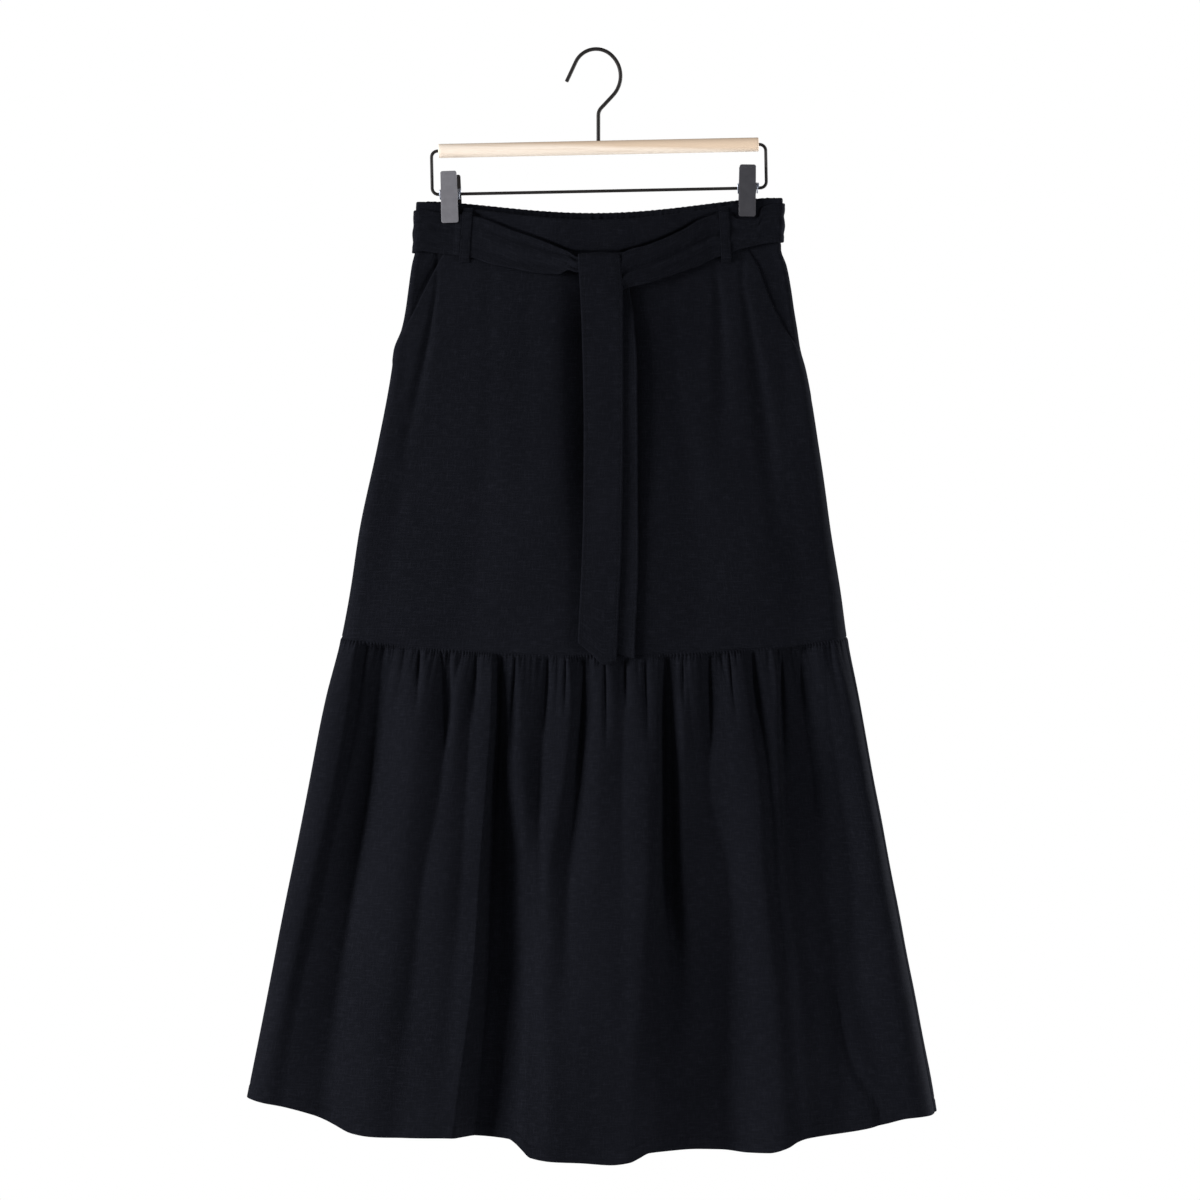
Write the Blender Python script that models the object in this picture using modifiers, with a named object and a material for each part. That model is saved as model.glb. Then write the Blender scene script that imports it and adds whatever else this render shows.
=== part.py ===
"""A long skirt with a gathered tier and a tied sash, clipped to a wood and wire hanger.

Metres, +Z up. The origin is the inner top of the hook, where the hanger hangs on its
rail. The front of the skirt faces -Y, and +X is on the viewer's right. "Down" is the
distance below the origin, so a point's Z is minus its down.

"Around" runs round the skirt: 0 is the left side edge, 0 to 1 crosses the front to the
right side edge, and 1 to 2 comes back to the left side edge behind.
"""

import math
from collections import namedtuple

import bmesh
import bpy
import numpy as np
from mathutils import Matrix, Vector

COLLECTION_NAME = "maxi_skirt_on_clip_hanger"

# ---------------------------------------------------------------- cloth walls
SEAM_GAP = 0.0003
PANEL_WALL = 0.0015
TIER_WALL = 0.0016
BAND_WALL = 0.0025
BAND_PROUD = 0.0005  # the doubled waistband stands this far off the panels' face
BAND_DEEP = 0.045
SASH_WALL = 0.0020
LOOP_WALL = 0.0012
BAND_END_GAP = 0.0006  # between the waistbands at a side, whose inner corners are tight

# ------------------------------------------------------------ level sections
# Half widths left and right of the hook, radius of the turned side edge, how far the
# front and the back belly out, and how strongly that belly keeps to the middle.
Section = namedtuple("Section", "down left right turn front back keep")
SECTIONS = (
    Section(0.150, 0.1786, 0.1874, 0.0032, 0.010, 0.007, 3.0),
    Section(0.200, 0.1800, 0.1862, 0.0045, 0.012, 0.009, 2.6),
    Section(0.215, 0.1834, 0.1915, 0.0060, 0.013, 0.010, 2.4),
    Section(0.240, 0.1872, 0.1961, 0.0066, 0.014, 0.011, 2.2),
    Section(0.260, 0.1900, 0.1989, 0.0070, 0.014, 0.012, 2.0),
    Section(0.280, 0.1940, 0.2023, 0.0075, 0.015, 0.012, 1.9),
    Section(0.300, 0.2015, 0.2055, 0.0080, 0.015, 0.013, 1.8),
    Section(0.320, 0.2041, 0.2109, 0.0085, 0.015, 0.013, 1.7),
    Section(0.400, 0.2187, 0.2243, 0.0100, 0.015, 0.014, 1.5),
    Section(0.480, 0.2354, 0.2364, 0.0120, 0.015, 0.014, 1.3),
    Section(0.540, 0.2448, 0.2453, 0.0140, 0.016, 0.015, 1.2),
    Section(0.590, 0.2546, 0.2523, 0.0160, 0.016, 0.016, 1.1),
    Section(0.650, 0.2694, 0.2647, 0.0180, 0.018, 0.018, 1.0),
    Section(0.730, 0.2848, 0.2785, 0.0200, 0.020, 0.020, 1.0),
    Section(0.810, 0.3001, 0.2940, 0.0220, 0.022, 0.022, 1.0),
    Section(0.890, 0.3154, 0.3088, 0.0240, 0.024, 0.024, 1.0),
    Section(0.970, 0.3315, 0.3243, 0.0260, 0.027, 0.027, 1.0),
    Section(1.065, 0.3510, 0.3418, 0.0280, 0.030, 0.030, 1.0),
)

# ---------------------------------------- lines that run round the whole skirt
# A line's down at each side edge, how far it sags in the middle of the front and of the
# back, and how strongly the sag keeps to the middle.
Line = namedtuple("Line", "left right front_sag back_sag keep")
BAND_TOP = Line(0.1525, 0.1485, 0.018, 0.013, 2.0)
TIER_SEAM = Line(0.5875, 0.5875, 0.018, 0.016, 1.0)

# The hem, from the left edge (0) to the right edge (1).
HemPoint = namedtuple("HemPoint", "across down")
HEM_FRONT = (
    HemPoint(0.00, 1.0505),
    HemPoint(0.11, 1.0625),
    HemPoint(0.16, 1.0780),
    HemPoint(0.22, 1.0815),
    HemPoint(0.38, 1.0820),
    HemPoint(0.41, 1.1010),
    HemPoint(0.52, 1.1060),
    HemPoint(0.56, 1.1000),
    HemPoint(0.58, 1.0935),
    HemPoint(0.63, 1.0915),
    HemPoint(0.72, 1.0960),
    HemPoint(0.75, 1.0955),
    HemPoint(0.79, 1.0860),
    HemPoint(0.86, 1.0780),
    HemPoint(0.91, 1.0705),
    HemPoint(1.00, 1.0615),
)
HEM_BACK = (
    HemPoint(0.00, 1.0505),
    HemPoint(0.12, 1.0670),
    HemPoint(0.26, 1.0880),
    HemPoint(0.38, 1.0810),
    HemPoint(0.52, 1.0990),
    HemPoint(0.66, 1.0850),
    HemPoint(0.80, 1.0890),
    HemPoint(1.00, 1.0615),
)

# ------------------------------------------------------------- folds of cloth
# Where a fold stands at the top and the foot of its cloth, where it starts and stops as
# shares of that cloth's drop, its half width, and its depth: inward, or outward if minus.
Fold = namedtuple("Fold", "top_x foot_x start stop width depth")
TIER_FRONT_FOLDS = (
    Fold(-0.238, -0.298, 0.02, 1.30, 0.014, 0.004),
    Fold(-0.216, -0.270, -0.20, 1.30, 0.009, -0.003),
    Fold(-0.148, -0.195, -0.20, 1.10, 0.009, 0.004),
    Fold(-0.119, -0.143, -0.20, 0.62, 0.007, 0.003),
    Fold(-0.095, -0.108, -0.20, 1.30, 0.011, 0.014),
    Fold(-0.047, -0.063, -0.20, 0.35, 0.007, 0.003),
    Fold(-0.040, -0.015, 0.25, 1.60, 0.042, -0.010),
    Fold(-0.011, -0.033, -0.20, 0.45, 0.007, 0.004),
    Fold(0.010, 0.004, -0.20, 0.22, 0.006, 0.003),
    Fold(0.050, 0.052, -0.20, 0.22, 0.006, 0.003),
    Fold(0.075, 0.094, -0.20, 1.30, 0.014, 0.013),
    Fold(0.116, 0.100, -0.20, 0.40, 0.008, 0.004),
    Fold(0.146, 0.182, 0.02, 1.40, 0.013, -0.006),
    Fold(0.188, 0.222, -0.20, 1.10, 0.015, 0.009),
    Fold(0.214, 0.262, 0.05, 1.10, 0.010, -0.003),
    Fold(0.225, 0.278, 0.68, 1.50, 0.010, 0.005),
)
TIER_BACK_FOLDS = (
    Fold(-0.205, -0.262, -0.20, 1.30, 0.012, 0.007),
    Fold(-0.160, -0.205, 0.00, 1.30, 0.016, -0.005),
    Fold(-0.118, -0.148, -0.20, 1.30, 0.011, 0.009),
    Fold(-0.066, -0.085, -0.20, 0.60, 0.008, 0.004),
    Fold(-0.030, -0.045, 0.20, 1.50, 0.034, -0.008),
    Fold(0.012, 0.022, -0.20, 1.30, 0.011, 0.010),
    Fold(0.070, 0.088, -0.20, 0.50, 0.008, 0.004),
    Fold(0.098, 0.128, 0.05, 1.30, 0.020, -0.006),
    Fold(0.142, 0.182, -0.20, 1.30, 0.012, 0.008),
    Fold(0.196, 0.248, -0.20, 1.30, 0.013, 0.005),
)
PANEL_FRONT_FOLDS = (
    Fold(-0.105, -0.130, 0.30, 1.40, 0.020, 0.0015),
    Fold(0.120, 0.130, 0.05, 0.55, 0.010, 0.0020),
    Fold(0.080, 0.110, 0.35, 1.40, 0.022, 0.0018),
)
PANEL_BACK_FOLDS = (
    Fold(-0.110, -0.150, 0.10, 1.40, 0.018, 0.0025),
    Fold(-0.035, -0.050, 0.20, 1.40, 0.020, 0.0020),
    Fold(0.050, 0.070, 0.05, 1.40, 0.018, 0.0025),
    Fold(0.125, 0.160, 0.20, 1.40, 0.018, 0.0020),
)
FOLD_FADE = 0.16  # share of the drop over which a fold comes and goes
NORMAL_STEP = 0.0008  # each way round the skirt, to read which way the cloth faces
SETTLE_STEPS = 4  # passes that settle which row of cloth a point lies on

# Fine gathers: how many fit across one side, their height, and how far down they die out.
# Those nearest a side edge are pulled flat.
Gathers = namedtuple("Gathers", "count height reach flat_at_edge")
TIER_GATHERS = Gathers(60, 0.0016, 0.20, 4)
ELASTIC_GATHERS = Gathers(44, 0.0008, 0.16, 5)
COLUMNS_PER_GATHER = 4
GATHER_UNEVEN = 0.22  # share of the height that varies from one gather to the next
GATHER_RHYTHM = 2.4  # radians from one gather to the next in that variation
GATHER_RISE = 2.0  # gathers over which they come up from the flat edge
EDGE_COLUMNS = 4  # of the foot's columns at each side edge, where the cloth turns,
EDGE_CLOTH = 0.03  # cover this share of the cloth

# Rows of each wall: share of the drop, and how many columns one step takes.
Row = namedtuple("Row", "drop step")
TIER_ROWS = tuple(Row(*r) for r in (
    (0.0, 1), (0.06, 2), (0.16, 4), (0.30, 4), (0.45, 4), (0.62, 4), (0.80, 4), (1.0, 4),
))
PANEL_BACK_ROWS = tuple(Row(*r) for r in (
    (0.0, 1), (0.05, 2), (0.13, 4), (0.24, 4), (0.36, 4), (0.52, 4), (0.70, 4), (0.86, 4), (1.0, 4),
))
PANEL_FRONT_ROWS = tuple(Row(d, 1) for d in (
    0.0, 0.05, 0.11, 0.16, 0.185, 0.21, 0.24, 0.265, 0.278, 0.29, 0.305, 0.34, 0.42, 0.56, 0.72, 0.87, 1.0,
))
BAND_ROWS = tuple(Row(d, 1) for d in (0.0, 0.5, 1.0))
BAND_BACK_ROWS = tuple(Row(d, 1) for d in (0.0, 1.0))
PLAIN_COLUMNS = 34  # across a front panel or front waistband
SIDE_SEAM_SHIFT = 0.985  # the tier's right seam lies this far round, on the front

# ------------------------------------------------------------------- pockets
# The slanted mouths cut the front panel's upper corners: down, and distance from the hook.
MouthPoint = namedtuple("MouthPoint", "down x")
MOUTH_LEFT = (
    MouthPoint(0.1980, -0.1540),
    MouthPoint(0.2450, -0.1770),
    MouthPoint(0.2830, -0.2000),
)
MOUTH_RIGHT = (
    MouthPoint(0.1980, 0.1522),
    MouthPoint(0.2190, 0.1634),
    MouthPoint(0.2455, 0.1732),
    MouthPoint(0.2780, 0.1886),
    MouthPoint(0.3155, 0.2150),
)
FACING_UNDERLAP = 0.045  # of the cloth round, that the pocket facing runs under the panel
FACING_FOOT = {"left": 0.30, "right": 0.40}  # share of the panel's drop
FACING_SET_IN = PANEL_WALL + 0.0010
FACING_COLUMNS = 8

# ---------------------------------------------------------------------- sash
# The sash lies on the waistband at the sides and the back.
Wrap = namedtuple("Wrap", "around top foot lift")
SASH_LIFT = BAND_PROUD + 0.0004
SASH_BACK_LIFT = SASH_LIFT + ELASTIC_GATHERS.height
WRAP_LEFT = (
    Wrap(-0.130, 0.1625, 0.2045, SASH_BACK_LIFT),
    Wrap(-0.080, 0.1622, 0.2043, SASH_BACK_LIFT),
    Wrap(-0.030, 0.1618, 0.2038, SASH_BACK_LIFT),
    Wrap(-0.017, 0.1616, 0.2037, SASH_BACK_LIFT),
    Wrap(-0.011, 0.1614, 0.2036, SASH_BACK_LIFT),
    Wrap(-0.005, 0.1612, 0.2035, SASH_BACK_LIFT),
    Wrap(0.000, 0.1612, 0.2035, SASH_LIFT),
    Wrap(0.005, 0.1612, 0.2035, SASH_LIFT),
    Wrap(0.011, 0.1611, 0.2032, SASH_LIFT),
    Wrap(0.017, 0.1610, 0.2030, SASH_LIFT),
    Wrap(0.030, 0.1608, 0.2025, SASH_LIFT),
    Wrap(0.068, 0.1630, 0.2045, SASH_LIFT),
    Wrap(0.106, 0.1642, 0.2060, SASH_LIFT),
    Wrap(0.139, 0.1661, 0.2079, SASH_LIFT),
)
WRAP_RIGHT = (
    Wrap(0.840, 0.1656, 0.2072, SASH_LIFT),
    Wrap(0.855, 0.1660, 0.2050, SASH_LIFT),
    Wrap(0.869, 0.1692, 0.2020, SASH_LIFT),
    Wrap(0.888, 0.1705, 0.2000, SASH_LIFT),
    Wrap(0.907, 0.1703, 0.1980, SASH_LIFT),
    Wrap(0.926, 0.1697, 0.1965, SASH_LIFT),
    Wrap(0.938, 0.1590, 0.1955, SASH_LIFT),
    Wrap(0.960, 0.1555, 0.1940, SASH_LIFT),
    Wrap(0.983, 0.1545, 0.1930, SASH_LIFT),
    Wrap(0.989, 0.1542, 0.1929, SASH_LIFT),
    Wrap(0.995, 0.1540, 0.1928, SASH_LIFT),
    Wrap(1.000, 0.1540, 0.1928, SASH_LIFT),
    Wrap(1.005, 0.1540, 0.1928, SASH_BACK_LIFT),
    Wrap(1.011, 0.1540, 0.1929, SASH_BACK_LIFT),
    Wrap(1.017, 0.1541, 0.1930, SASH_BACK_LIFT),
    Wrap(1.030, 0.1545, 0.1935, SASH_BACK_LIFT),
    Wrap(1.080, 0.1570, 0.1965, SASH_BACK_LIFT),
    Wrap(1.130, 0.1590, 0.1990, SASH_BACK_LIFT),
)
WRAP_BACK = (
    Wrap(1.131, 0.1590, 0.1990, SASH_BACK_LIFT),
    Wrap(1.220, 0.1635, 0.2045, SASH_BACK_LIFT),
    Wrap(1.320, 0.1700, 0.2110, SASH_BACK_LIFT),
    Wrap(1.500, 0.1740, 0.2155, SASH_BACK_LIFT),
    Wrap(1.680, 0.1700, 0.2115, SASH_BACK_LIFT),
    Wrap(1.780, 0.1655, 0.2070, SASH_BACK_LIFT),
    Wrap(1.869, 0.1625, 0.2045, SASH_BACK_LIFT),
)

SASH_COLUMNS = 2  # across the sash's width
WRAP_STEP = 0.030  # the longest step round the skirt between two stations
STRETCH_STEP = 0.012  # the longest step along X

# The stretches that hang free across the front, from each front loop to the knot.
Stretch = namedtuple("Stretch", "x top foot lift")
STRETCH_LEFT = (
    Stretch(-0.1286, 0.1662, 0.2080, SASH_LIFT),
    Stretch(-0.1195, 0.1675, 0.2100, SASH_LIFT),
    Stretch(-0.1052, 0.1720, 0.2150, 0.0025),
    Stretch(-0.0852, 0.1805, 0.2195, 0.0045),
    Stretch(-0.0552, 0.1915, 0.2255, 0.0058),
    Stretch(-0.0352, 0.2000, 0.2262, 0.0060),
    Stretch(-0.0262, 0.2040, 0.2205, 0.0060),
    Stretch(-0.0180, 0.2102, 0.2205, 0.0060),
    Stretch(0.0020, 0.2104, 0.2250, 0.0060),
)
STRETCH_RIGHT = (
    Stretch(0.0040, 0.2104, 0.2470, 0.0060),
    Stretch(0.0252, 0.2102, 0.2440, 0.0060),
    Stretch(0.0275, 0.2055, 0.2425, 0.0060),
    Stretch(0.0548, 0.1965, 0.2350, 0.0058),
    Stretch(0.0848, 0.1832, 0.2243, 0.0040),
    Stretch(0.1048, 0.1715, 0.2170, 0.0022),
    Stretch(0.1205, 0.1660, 0.2090, SASH_LIFT),
    Stretch(0.1290, 0.1656, 0.2074, SASH_LIFT),
)

# The front tail comes up behind the stretches, folds over them and hangs down in front.
# The path of its middle: down, distance out from the cloth, and its two edges.
Tail = namedtuple("Tail", "down out left right")
TAIL_FRONT = (
    Tail(0.2400, 0.0046, -0.0150, 0.0240),
    Tail(0.2140, 0.0046, -0.0160, 0.0246),
    Tail(0.2085, 0.0052, -0.0166, 0.0246),
    Tail(0.2068, 0.0070, -0.0168, 0.0246),
    Tail(0.2085, 0.0088, -0.0168, 0.0246),
    Tail(0.2140, 0.0096, -0.0166, 0.0250),
    Tail(0.2450, 0.0100, -0.0147, 0.0272),
    Tail(0.2805, 0.0100, -0.0132, 0.0275),
    Tail(0.3805, 0.0090, -0.0112, 0.0278),
    Tail(0.4605, 0.0070, -0.0118, 0.0268),
    Tail(0.5105, 0.0060, -0.0132, 0.0258),
    Tail(0.5705, 0.0058, -0.0162, 0.0224),
    Tail(0.5850, 0.0058, -0.0172, 0.0214),
)
TAIL_FRONT_END = (0.5930, 0.6035, 0.6150, 0.6115)  # the slanted end, from left to right
TAIL_BACK = (
    Tail(0.2150, 0.0022, 0.0040, 0.0320),
    Tail(0.2450, 0.0022, 0.0060, 0.0345),
    Tail(0.2765, 0.0024, 0.0080, 0.0375),
    Tail(0.3205, 0.0024, 0.0095, 0.0413),
    Tail(0.3805, 0.0024, 0.0100, 0.0418),
    Tail(0.5105, 0.0022, 0.0090, 0.0428),
    Tail(0.5905, 0.0022, 0.0060, 0.0388),
)
TAIL_BACK_END = (0.5960, 0.6010, 0.6060, 0.6085)
TAIL_COLUMNS = (0.0, 0.45, 0.84, 1.0)  # shares of the width
TAIL_BACK_CURL = (0.0, 0.0, 0.0012, 0.0034)  # the right edge curls forward
CURL_FULL_DOWN = 0.3205
TAIL_END_SHIFT = 0.0006  # the slanted ends lie this much to the left

# --------------------------------------------------------------------- loops
LOOP_WIDE = 0.0100
LOOP_FOOT = 0.0030  # stitched flat at each end
LOOP_RAMP = 0.0025
Loop = namedtuple("Loop", "name ahead top_x foot_x top foot lift")
LOOPS = (
    Loop("loop_front_left", True, -0.1268, -0.1305, 0.1590, 0.2140, SASH_LIFT),
    Loop("loop_front_right", True, 0.1280, 0.1306, 0.1585, 0.2140, SASH_LIFT),
    Loop("loop_back_left", False, -0.1000, -0.1010, 0.1580, 0.2150, SASH_BACK_LIFT),
    Loop("loop_back_right", False, 0.1020, 0.1030, 0.1570, 0.2140, SASH_BACK_LIFT),
)

# -------------------------------------------------------------------- hanger
BAR_LENGTH = 0.320
BAR_RADIUS = 0.007
BAR_CENTRE = Vector((0.0033, 0.0, -0.09825))
BAR_TILT = math.radians(1.17)  # the right end is higher
BAR_SIDES = 24
FRAME_WIRE = 0.0015
FRAME_HALF = 0.1671  # from the bar's middle to the wire's upright
FRAME_CORNER = 0.0062
FRAME_DEEP = 0.0434  # from the bar's axis to the lower wire's
HOOK_WIRE = 0.00175
SHANK_X = 0.0033
SHANK_BEND_DOWN = 0.0615
HOOK_BEND_RADIUS = 0.009
BELLY_CENTRE = (-0.0030, 0.0265)  # x and down of the hook's right-hand arc
BELLY_RADIUS = 0.0285
CROWN_CENTRE = (0.0000, 0.0205)  # x and down of the arc that rests on the rail
CROWN_RADIUS = CROWN_CENTRE[1] + HOOK_WIRE
BELLY_FROM, BELLY_TO = math.radians(-42.0), math.radians(49.0)
CROWN_FROM, CROWN_TO = math.radians(45.0), math.radians(155.0)
TIP = (-0.0292, 0.0320)  # x and down of the hook's free end
ARC_STEPS = 9
CORNER_STEPS = 4

# A clip's two plates press the waistbands between them, either side of a spring on the wire.
CLIP_WIDE = 0.0172
CLIP_TALL = 0.0520
CLIP_THICK = 0.0025
CLIP_ROUND = 0.0008
SPRING_RADIUS = 0.0060
SPRING_LENGTH = 0.0120
SPRING_SIDES = 12
PLATE_SAMPLES = 8
# The down at which the sash begins under each plate; above it the plate lies on the band.
Clip = namedtuple("Clip", "name x top lean sash_front sash_back")
CLIPS = (
    Clip("clip_left", -0.1455, 0.1222, math.radians(1.6), 0.1625, 0.1615),
    Clip("clip_right", 0.1520, 0.1158, 0.0, 0.1690, 0.1550),
)

SHARP_EDGE = math.radians(50.0)
MERGE_DISTANCE = 0.0001

# ------------------------------------------------------------------- finishes
Finish = namedtuple("Finish", "colour roughness metallic")
BLACK_CLOTH = Finish((0.008, 0.009, 0.012), 0.95, 0.0)
PALE_WOOD = Finish((0.78, 0.60, 0.42), 0.55, 0.0)
DARK_WIRE = Finish((0.02, 0.018, 0.016), 0.40, 0.9)
GREY_CLIP = Finish((0.10, 0.10, 0.11), 0.35, 0.8)


def mix(first, second, share):
    """Value a share of the way from first to second."""
    return first + (second - first) * share


def ease(value):
    """Smooth step from 0 to 1 as value goes from 0 to 1."""
    value = min(max(value, 0.0), 1.0)
    return value * value * (3.0 - 2.0 * value)


def read(rows, key, value, column):
    """A table's column, straight between the rows on either side of value."""
    return float(np.interp(value, [getattr(r, key) for r in rows], [getattr(r, column) for r in rows]))


def belly_share(across, keep):
    """1 in the middle of a side, 0 at its edges."""
    offset = 2.0 * across - 1.0
    return max(1.0 - offset * offset, 0.0) ** keep


def fold_back(around):
    """Whether a point is on the front, and how far across from the left edge it is."""
    around = around % 2.0
    return (True, around) if around <= 1.0 else (False, 2.0 - around)


def line_down(line, around):
    """How far down one of the skirt's lines lies."""
    ahead, across = fold_back(around)
    sag = line.front_sag if ahead else line.back_sag
    return mix(line.left, line.right, across) + sag * belly_share(across, line.keep)


def band_top(around):
    """Down of the waistband's top edge."""
    return line_down(BAND_TOP, around)


def band_foot(around):
    """Down of the seam under the waistband."""
    return line_down(BAND_TOP, around) + BAND_DEEP


def tier_seam(around):
    """Down of the seam between the panels and the tier."""
    return line_down(TIER_SEAM, around)


def hem(around):
    """Down of the hem's edge."""
    ahead, across = fold_back(around)
    return read(HEM_FRONT if ahead else HEM_BACK, "across", across, "down")


Zone = namedtuple("Zone", "upper lower")
BAND = Zone(band_top, band_foot)
PANEL = Zone(band_foot, tier_seam)
TIER = Zone(tier_seam, hem)
ZONES = (BAND, PANEL, TIER)


def down_at(zone, around, drop):
    """Down of a point a share of the drop between a zone's two seams."""
    return mix(zone.upper(around) + SEAM_GAP / 2, zone.lower(around) - SEAM_GAP / 2, drop)


def section_at(zone, drop):
    """The section behind one row of cloth, each side edge read at its own height."""
    left_down = down_at(zone, 0.0, drop)
    right_down = down_at(zone, 1.0, drop)
    middle = (left_down + right_down) / 2
    values = {column: read(SECTIONS, "down", middle, column) for column in Section._fields}
    values["left"] = read(SECTIONS, "down", left_down, "left")
    values["right"] = read(SECTIONS, "down", right_down, "right")
    return Section(**values)


def half_length(section):
    """Length of the cloth across one side, with the turned edges along their arcs."""
    return section.left + section.right + (math.pi - 2.0) * section.turn


def ring_point(section, around):
    """X and Y of a point on the level ring."""
    ahead, across = fold_back(around)
    length = half_length(section)
    run = across * length
    near = min(run, length - run)
    corner = section.turn * math.pi / 2
    if near < corner:
        inset = section.turn * (1.0 - math.cos(near / section.turn))
        depth = section.turn * math.sin(near / section.turn)
    else:
        inset = section.turn + near - corner
        depth = section.turn
    x = -section.left + inset if run < length / 2 else section.right - inset
    share = (x + section.left) / (section.left + section.right)
    depth += (section.front if ahead else section.back) * belly_share(share, section.keep)
    return Vector((x, -depth if ahead else depth))


def outward(section, around):
    """Level direction away from the cloth's outer face."""
    along = ring_point(section, around + NORMAL_STEP) - ring_point(section, around - NORMAL_STEP)
    return Vector((along.y, -along.x)).normalized()


def cloth(zone, around, drop, out=0.0):
    """Point of the smooth cloth surface, moved out by a distance."""
    section = section_at(zone, drop)
    flat = ring_point(section, around) + outward(section, around) * out
    return Vector((flat.x, flat.y, -down_at(zone, around, drop)))


def around_at(zone, drop, x, ahead=True):
    """The around value where a row of cloth crosses x."""
    section = section_at(zone, drop)
    length = half_length(section)
    from_left = x < (section.right - section.left) / 2
    inset = max(x + section.left if from_left else section.right - x, 0.0)
    if inset < section.turn:
        run = section.turn * math.acos(1.0 - inset / section.turn)
    else:
        run = inset + section.turn * (math.pi / 2 - 1.0)
    across = run / length if from_left else 1.0 - run / length
    return across if ahead else 2.0 - across


def on_cloth(x, down, out, ahead=True):
    """Point at x and down, a distance out from the smooth cloth."""
    around = 0.5 if ahead else 1.5
    for zone in ZONES:
        for _ in range(SETTLE_STEPS):
            drop = (down - zone.upper(around)) / (zone.lower(around) - zone.upper(around))
            around = around_at(zone, min(max(drop, 0.0), 1.0), x, ahead)
        if drop <= 1.0:
            break
    point = cloth(zone, around, min(max(drop, 0.0), 1.0), out)
    point.z = -down
    return point


def fold_relief(folds, x, drop):
    """How far the named folds push the cloth out at x."""
    out = 0.0
    for fold in folds:
        centre = mix(fold.top_x, fold.foot_x, drop)
        there = ease((drop - fold.start) / FOLD_FADE) * ease((fold.stop - drop) / FOLD_FADE)
        out -= fold.depth * there * math.exp(-(((x - centre) / fold.width) ** 2))
    return out


def gather_relief(gathers, column, drop):
    """Height of the fine gathers in a column of cloth, which alternate crest and trough."""
    index = column / COLUMNS_PER_GATHER
    from_edge = min(index, gathers.count - index)
    flat = ease((from_edge - gathers.flat_at_edge) / GATHER_RISE)
    uneven = 1.0 - GATHER_UNEVEN + GATHER_UNEVEN * math.sin(GATHER_RHYTHM * round(index))
    wave = math.cos(column * math.tau / COLUMNS_PER_GATHER)
    return gathers.height * flat * uneven * wave * ease(1.0 - drop / gathers.reach)


def spread(column, columns, step):
    """Share of the cloth at a column; columns crowd at the side edges, where the cloth turns."""
    edge = EDGE_COLUMNS * step
    return float(np.interp(
        column,
        (0.0, edge, columns - edge, columns),
        (0.0, EDGE_CLOTH, 1.0 - EDGE_CLOTH, 1.0),
    ))


def make_material(name, finish):
    """A plain Principled material."""
    material = bpy.data.materials.new(name)
    material.use_nodes = True
    shader = material.node_tree.nodes["Principled BSDF"]
    shader.inputs["Base Color"].default_value = (*finish.colour, 1.0)
    shader.inputs["Roughness"].default_value = finish.roughness
    shader.inputs["Metallic"].default_value = finish.metallic
    return material


def keep_object(thing, finish):
    """File an object in the model's collection and give it its own material."""
    for holder in list(thing.users_collection):
        holder.objects.unlink(thing)
    bpy.data.collections[COLLECTION_NAME].objects.link(thing)
    thing.data.materials.clear()
    thing.data.materials.append(make_material(thing.name + "_finish", finish))
    return thing


def join_rows(mesh, above, below):
    """Faces between two rows of points, the lower one with as many points or half."""
    if len(above) == len(below):
        for a, b, c, d in zip(above, above[1:], below[1:], below):
            mesh.faces.new((a, d, c, b))
        return
    for k in range(len(below) - 1):
        a, b, c = above[2 * k : 2 * k + 3]
        d, e = below[k : k + 2]
        mesh.faces.new((a, d, b))
        mesh.faces.new((b, d, e))
        mesh.faces.new((b, e, c))


def make_wall(name, rows, finish):
    """A closed wall through rows of (outer, inner) points."""
    mesh = bmesh.new()
    outer = [[mesh.verts.new(pair[0]) for pair in row] for row in rows]
    inner = [[mesh.verts.new(pair[1]) for pair in row] for row in rows]
    for face in (outer, inner):
        for above, below in zip(face, face[1:]):
            join_rows(mesh, above, below)
    for end in (0, -1):
        join_rows(mesh, outer[end], inner[end])
        join_rows(mesh, [row[end] for row in outer], [row[end] for row in inner])
    bmesh.ops.recalc_face_normals(mesh, faces=mesh.faces)
    data = bpy.data.meshes.new(name)
    mesh.to_mesh(data)
    mesh.free()
    data.shade_smooth()
    data.set_sharp_from_angle(angle=SHARP_EDGE)
    return keep_object(bpy.data.objects.new(name, data), finish)


def cloth_wall(name, zone, rows, start, stop, columns, wall, proud, relief, finish=BLACK_CLOTH):
    """A wall of cloth between two seams: start and stop give its side edges for each row."""
    points = []
    for row in rows:
        first, last = start(row.drop), stop(row.drop)
        line = []
        for column in range(0, columns + 1, row.step):
            around = mix(first, last, spread(column, columns, rows[-1].step))
            smooth = cloth(zone, around, row.drop)
            lift = proud + relief(smooth.x, row.drop, column)
            line.append((
                cloth(zone, around, row.drop, lift),
                cloth(zone, around, row.drop, lift - wall),
            ))
        points.append(line)
    return make_wall(name, points, finish)


def seam_share(gap):
    """Half a seam's gap as a share of the cloth across a side, near enough at any height."""
    return gap / 2 / (SECTIONS[0].left + SECTIONS[0].right)


def fixed(around):
    """A side edge that stays at one around value."""
    return lambda drop: around


def mouth_around(side, drop):
    """Where a pocket's mouth crosses a row of the front panel, or the side edge below it."""
    edge = seam_share(SEAM_GAP)
    points, rest = (MOUTH_LEFT, edge) if side == "left" else (MOUTH_RIGHT, 1.0 - edge)
    down = down_at(PANEL, rest, drop)
    if down > points[-1].down:
        return rest
    around = around_at(PANEL, drop, read(points, "down", down, "x"))
    return max(around, rest) if side == "left" else min(around, rest)


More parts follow.
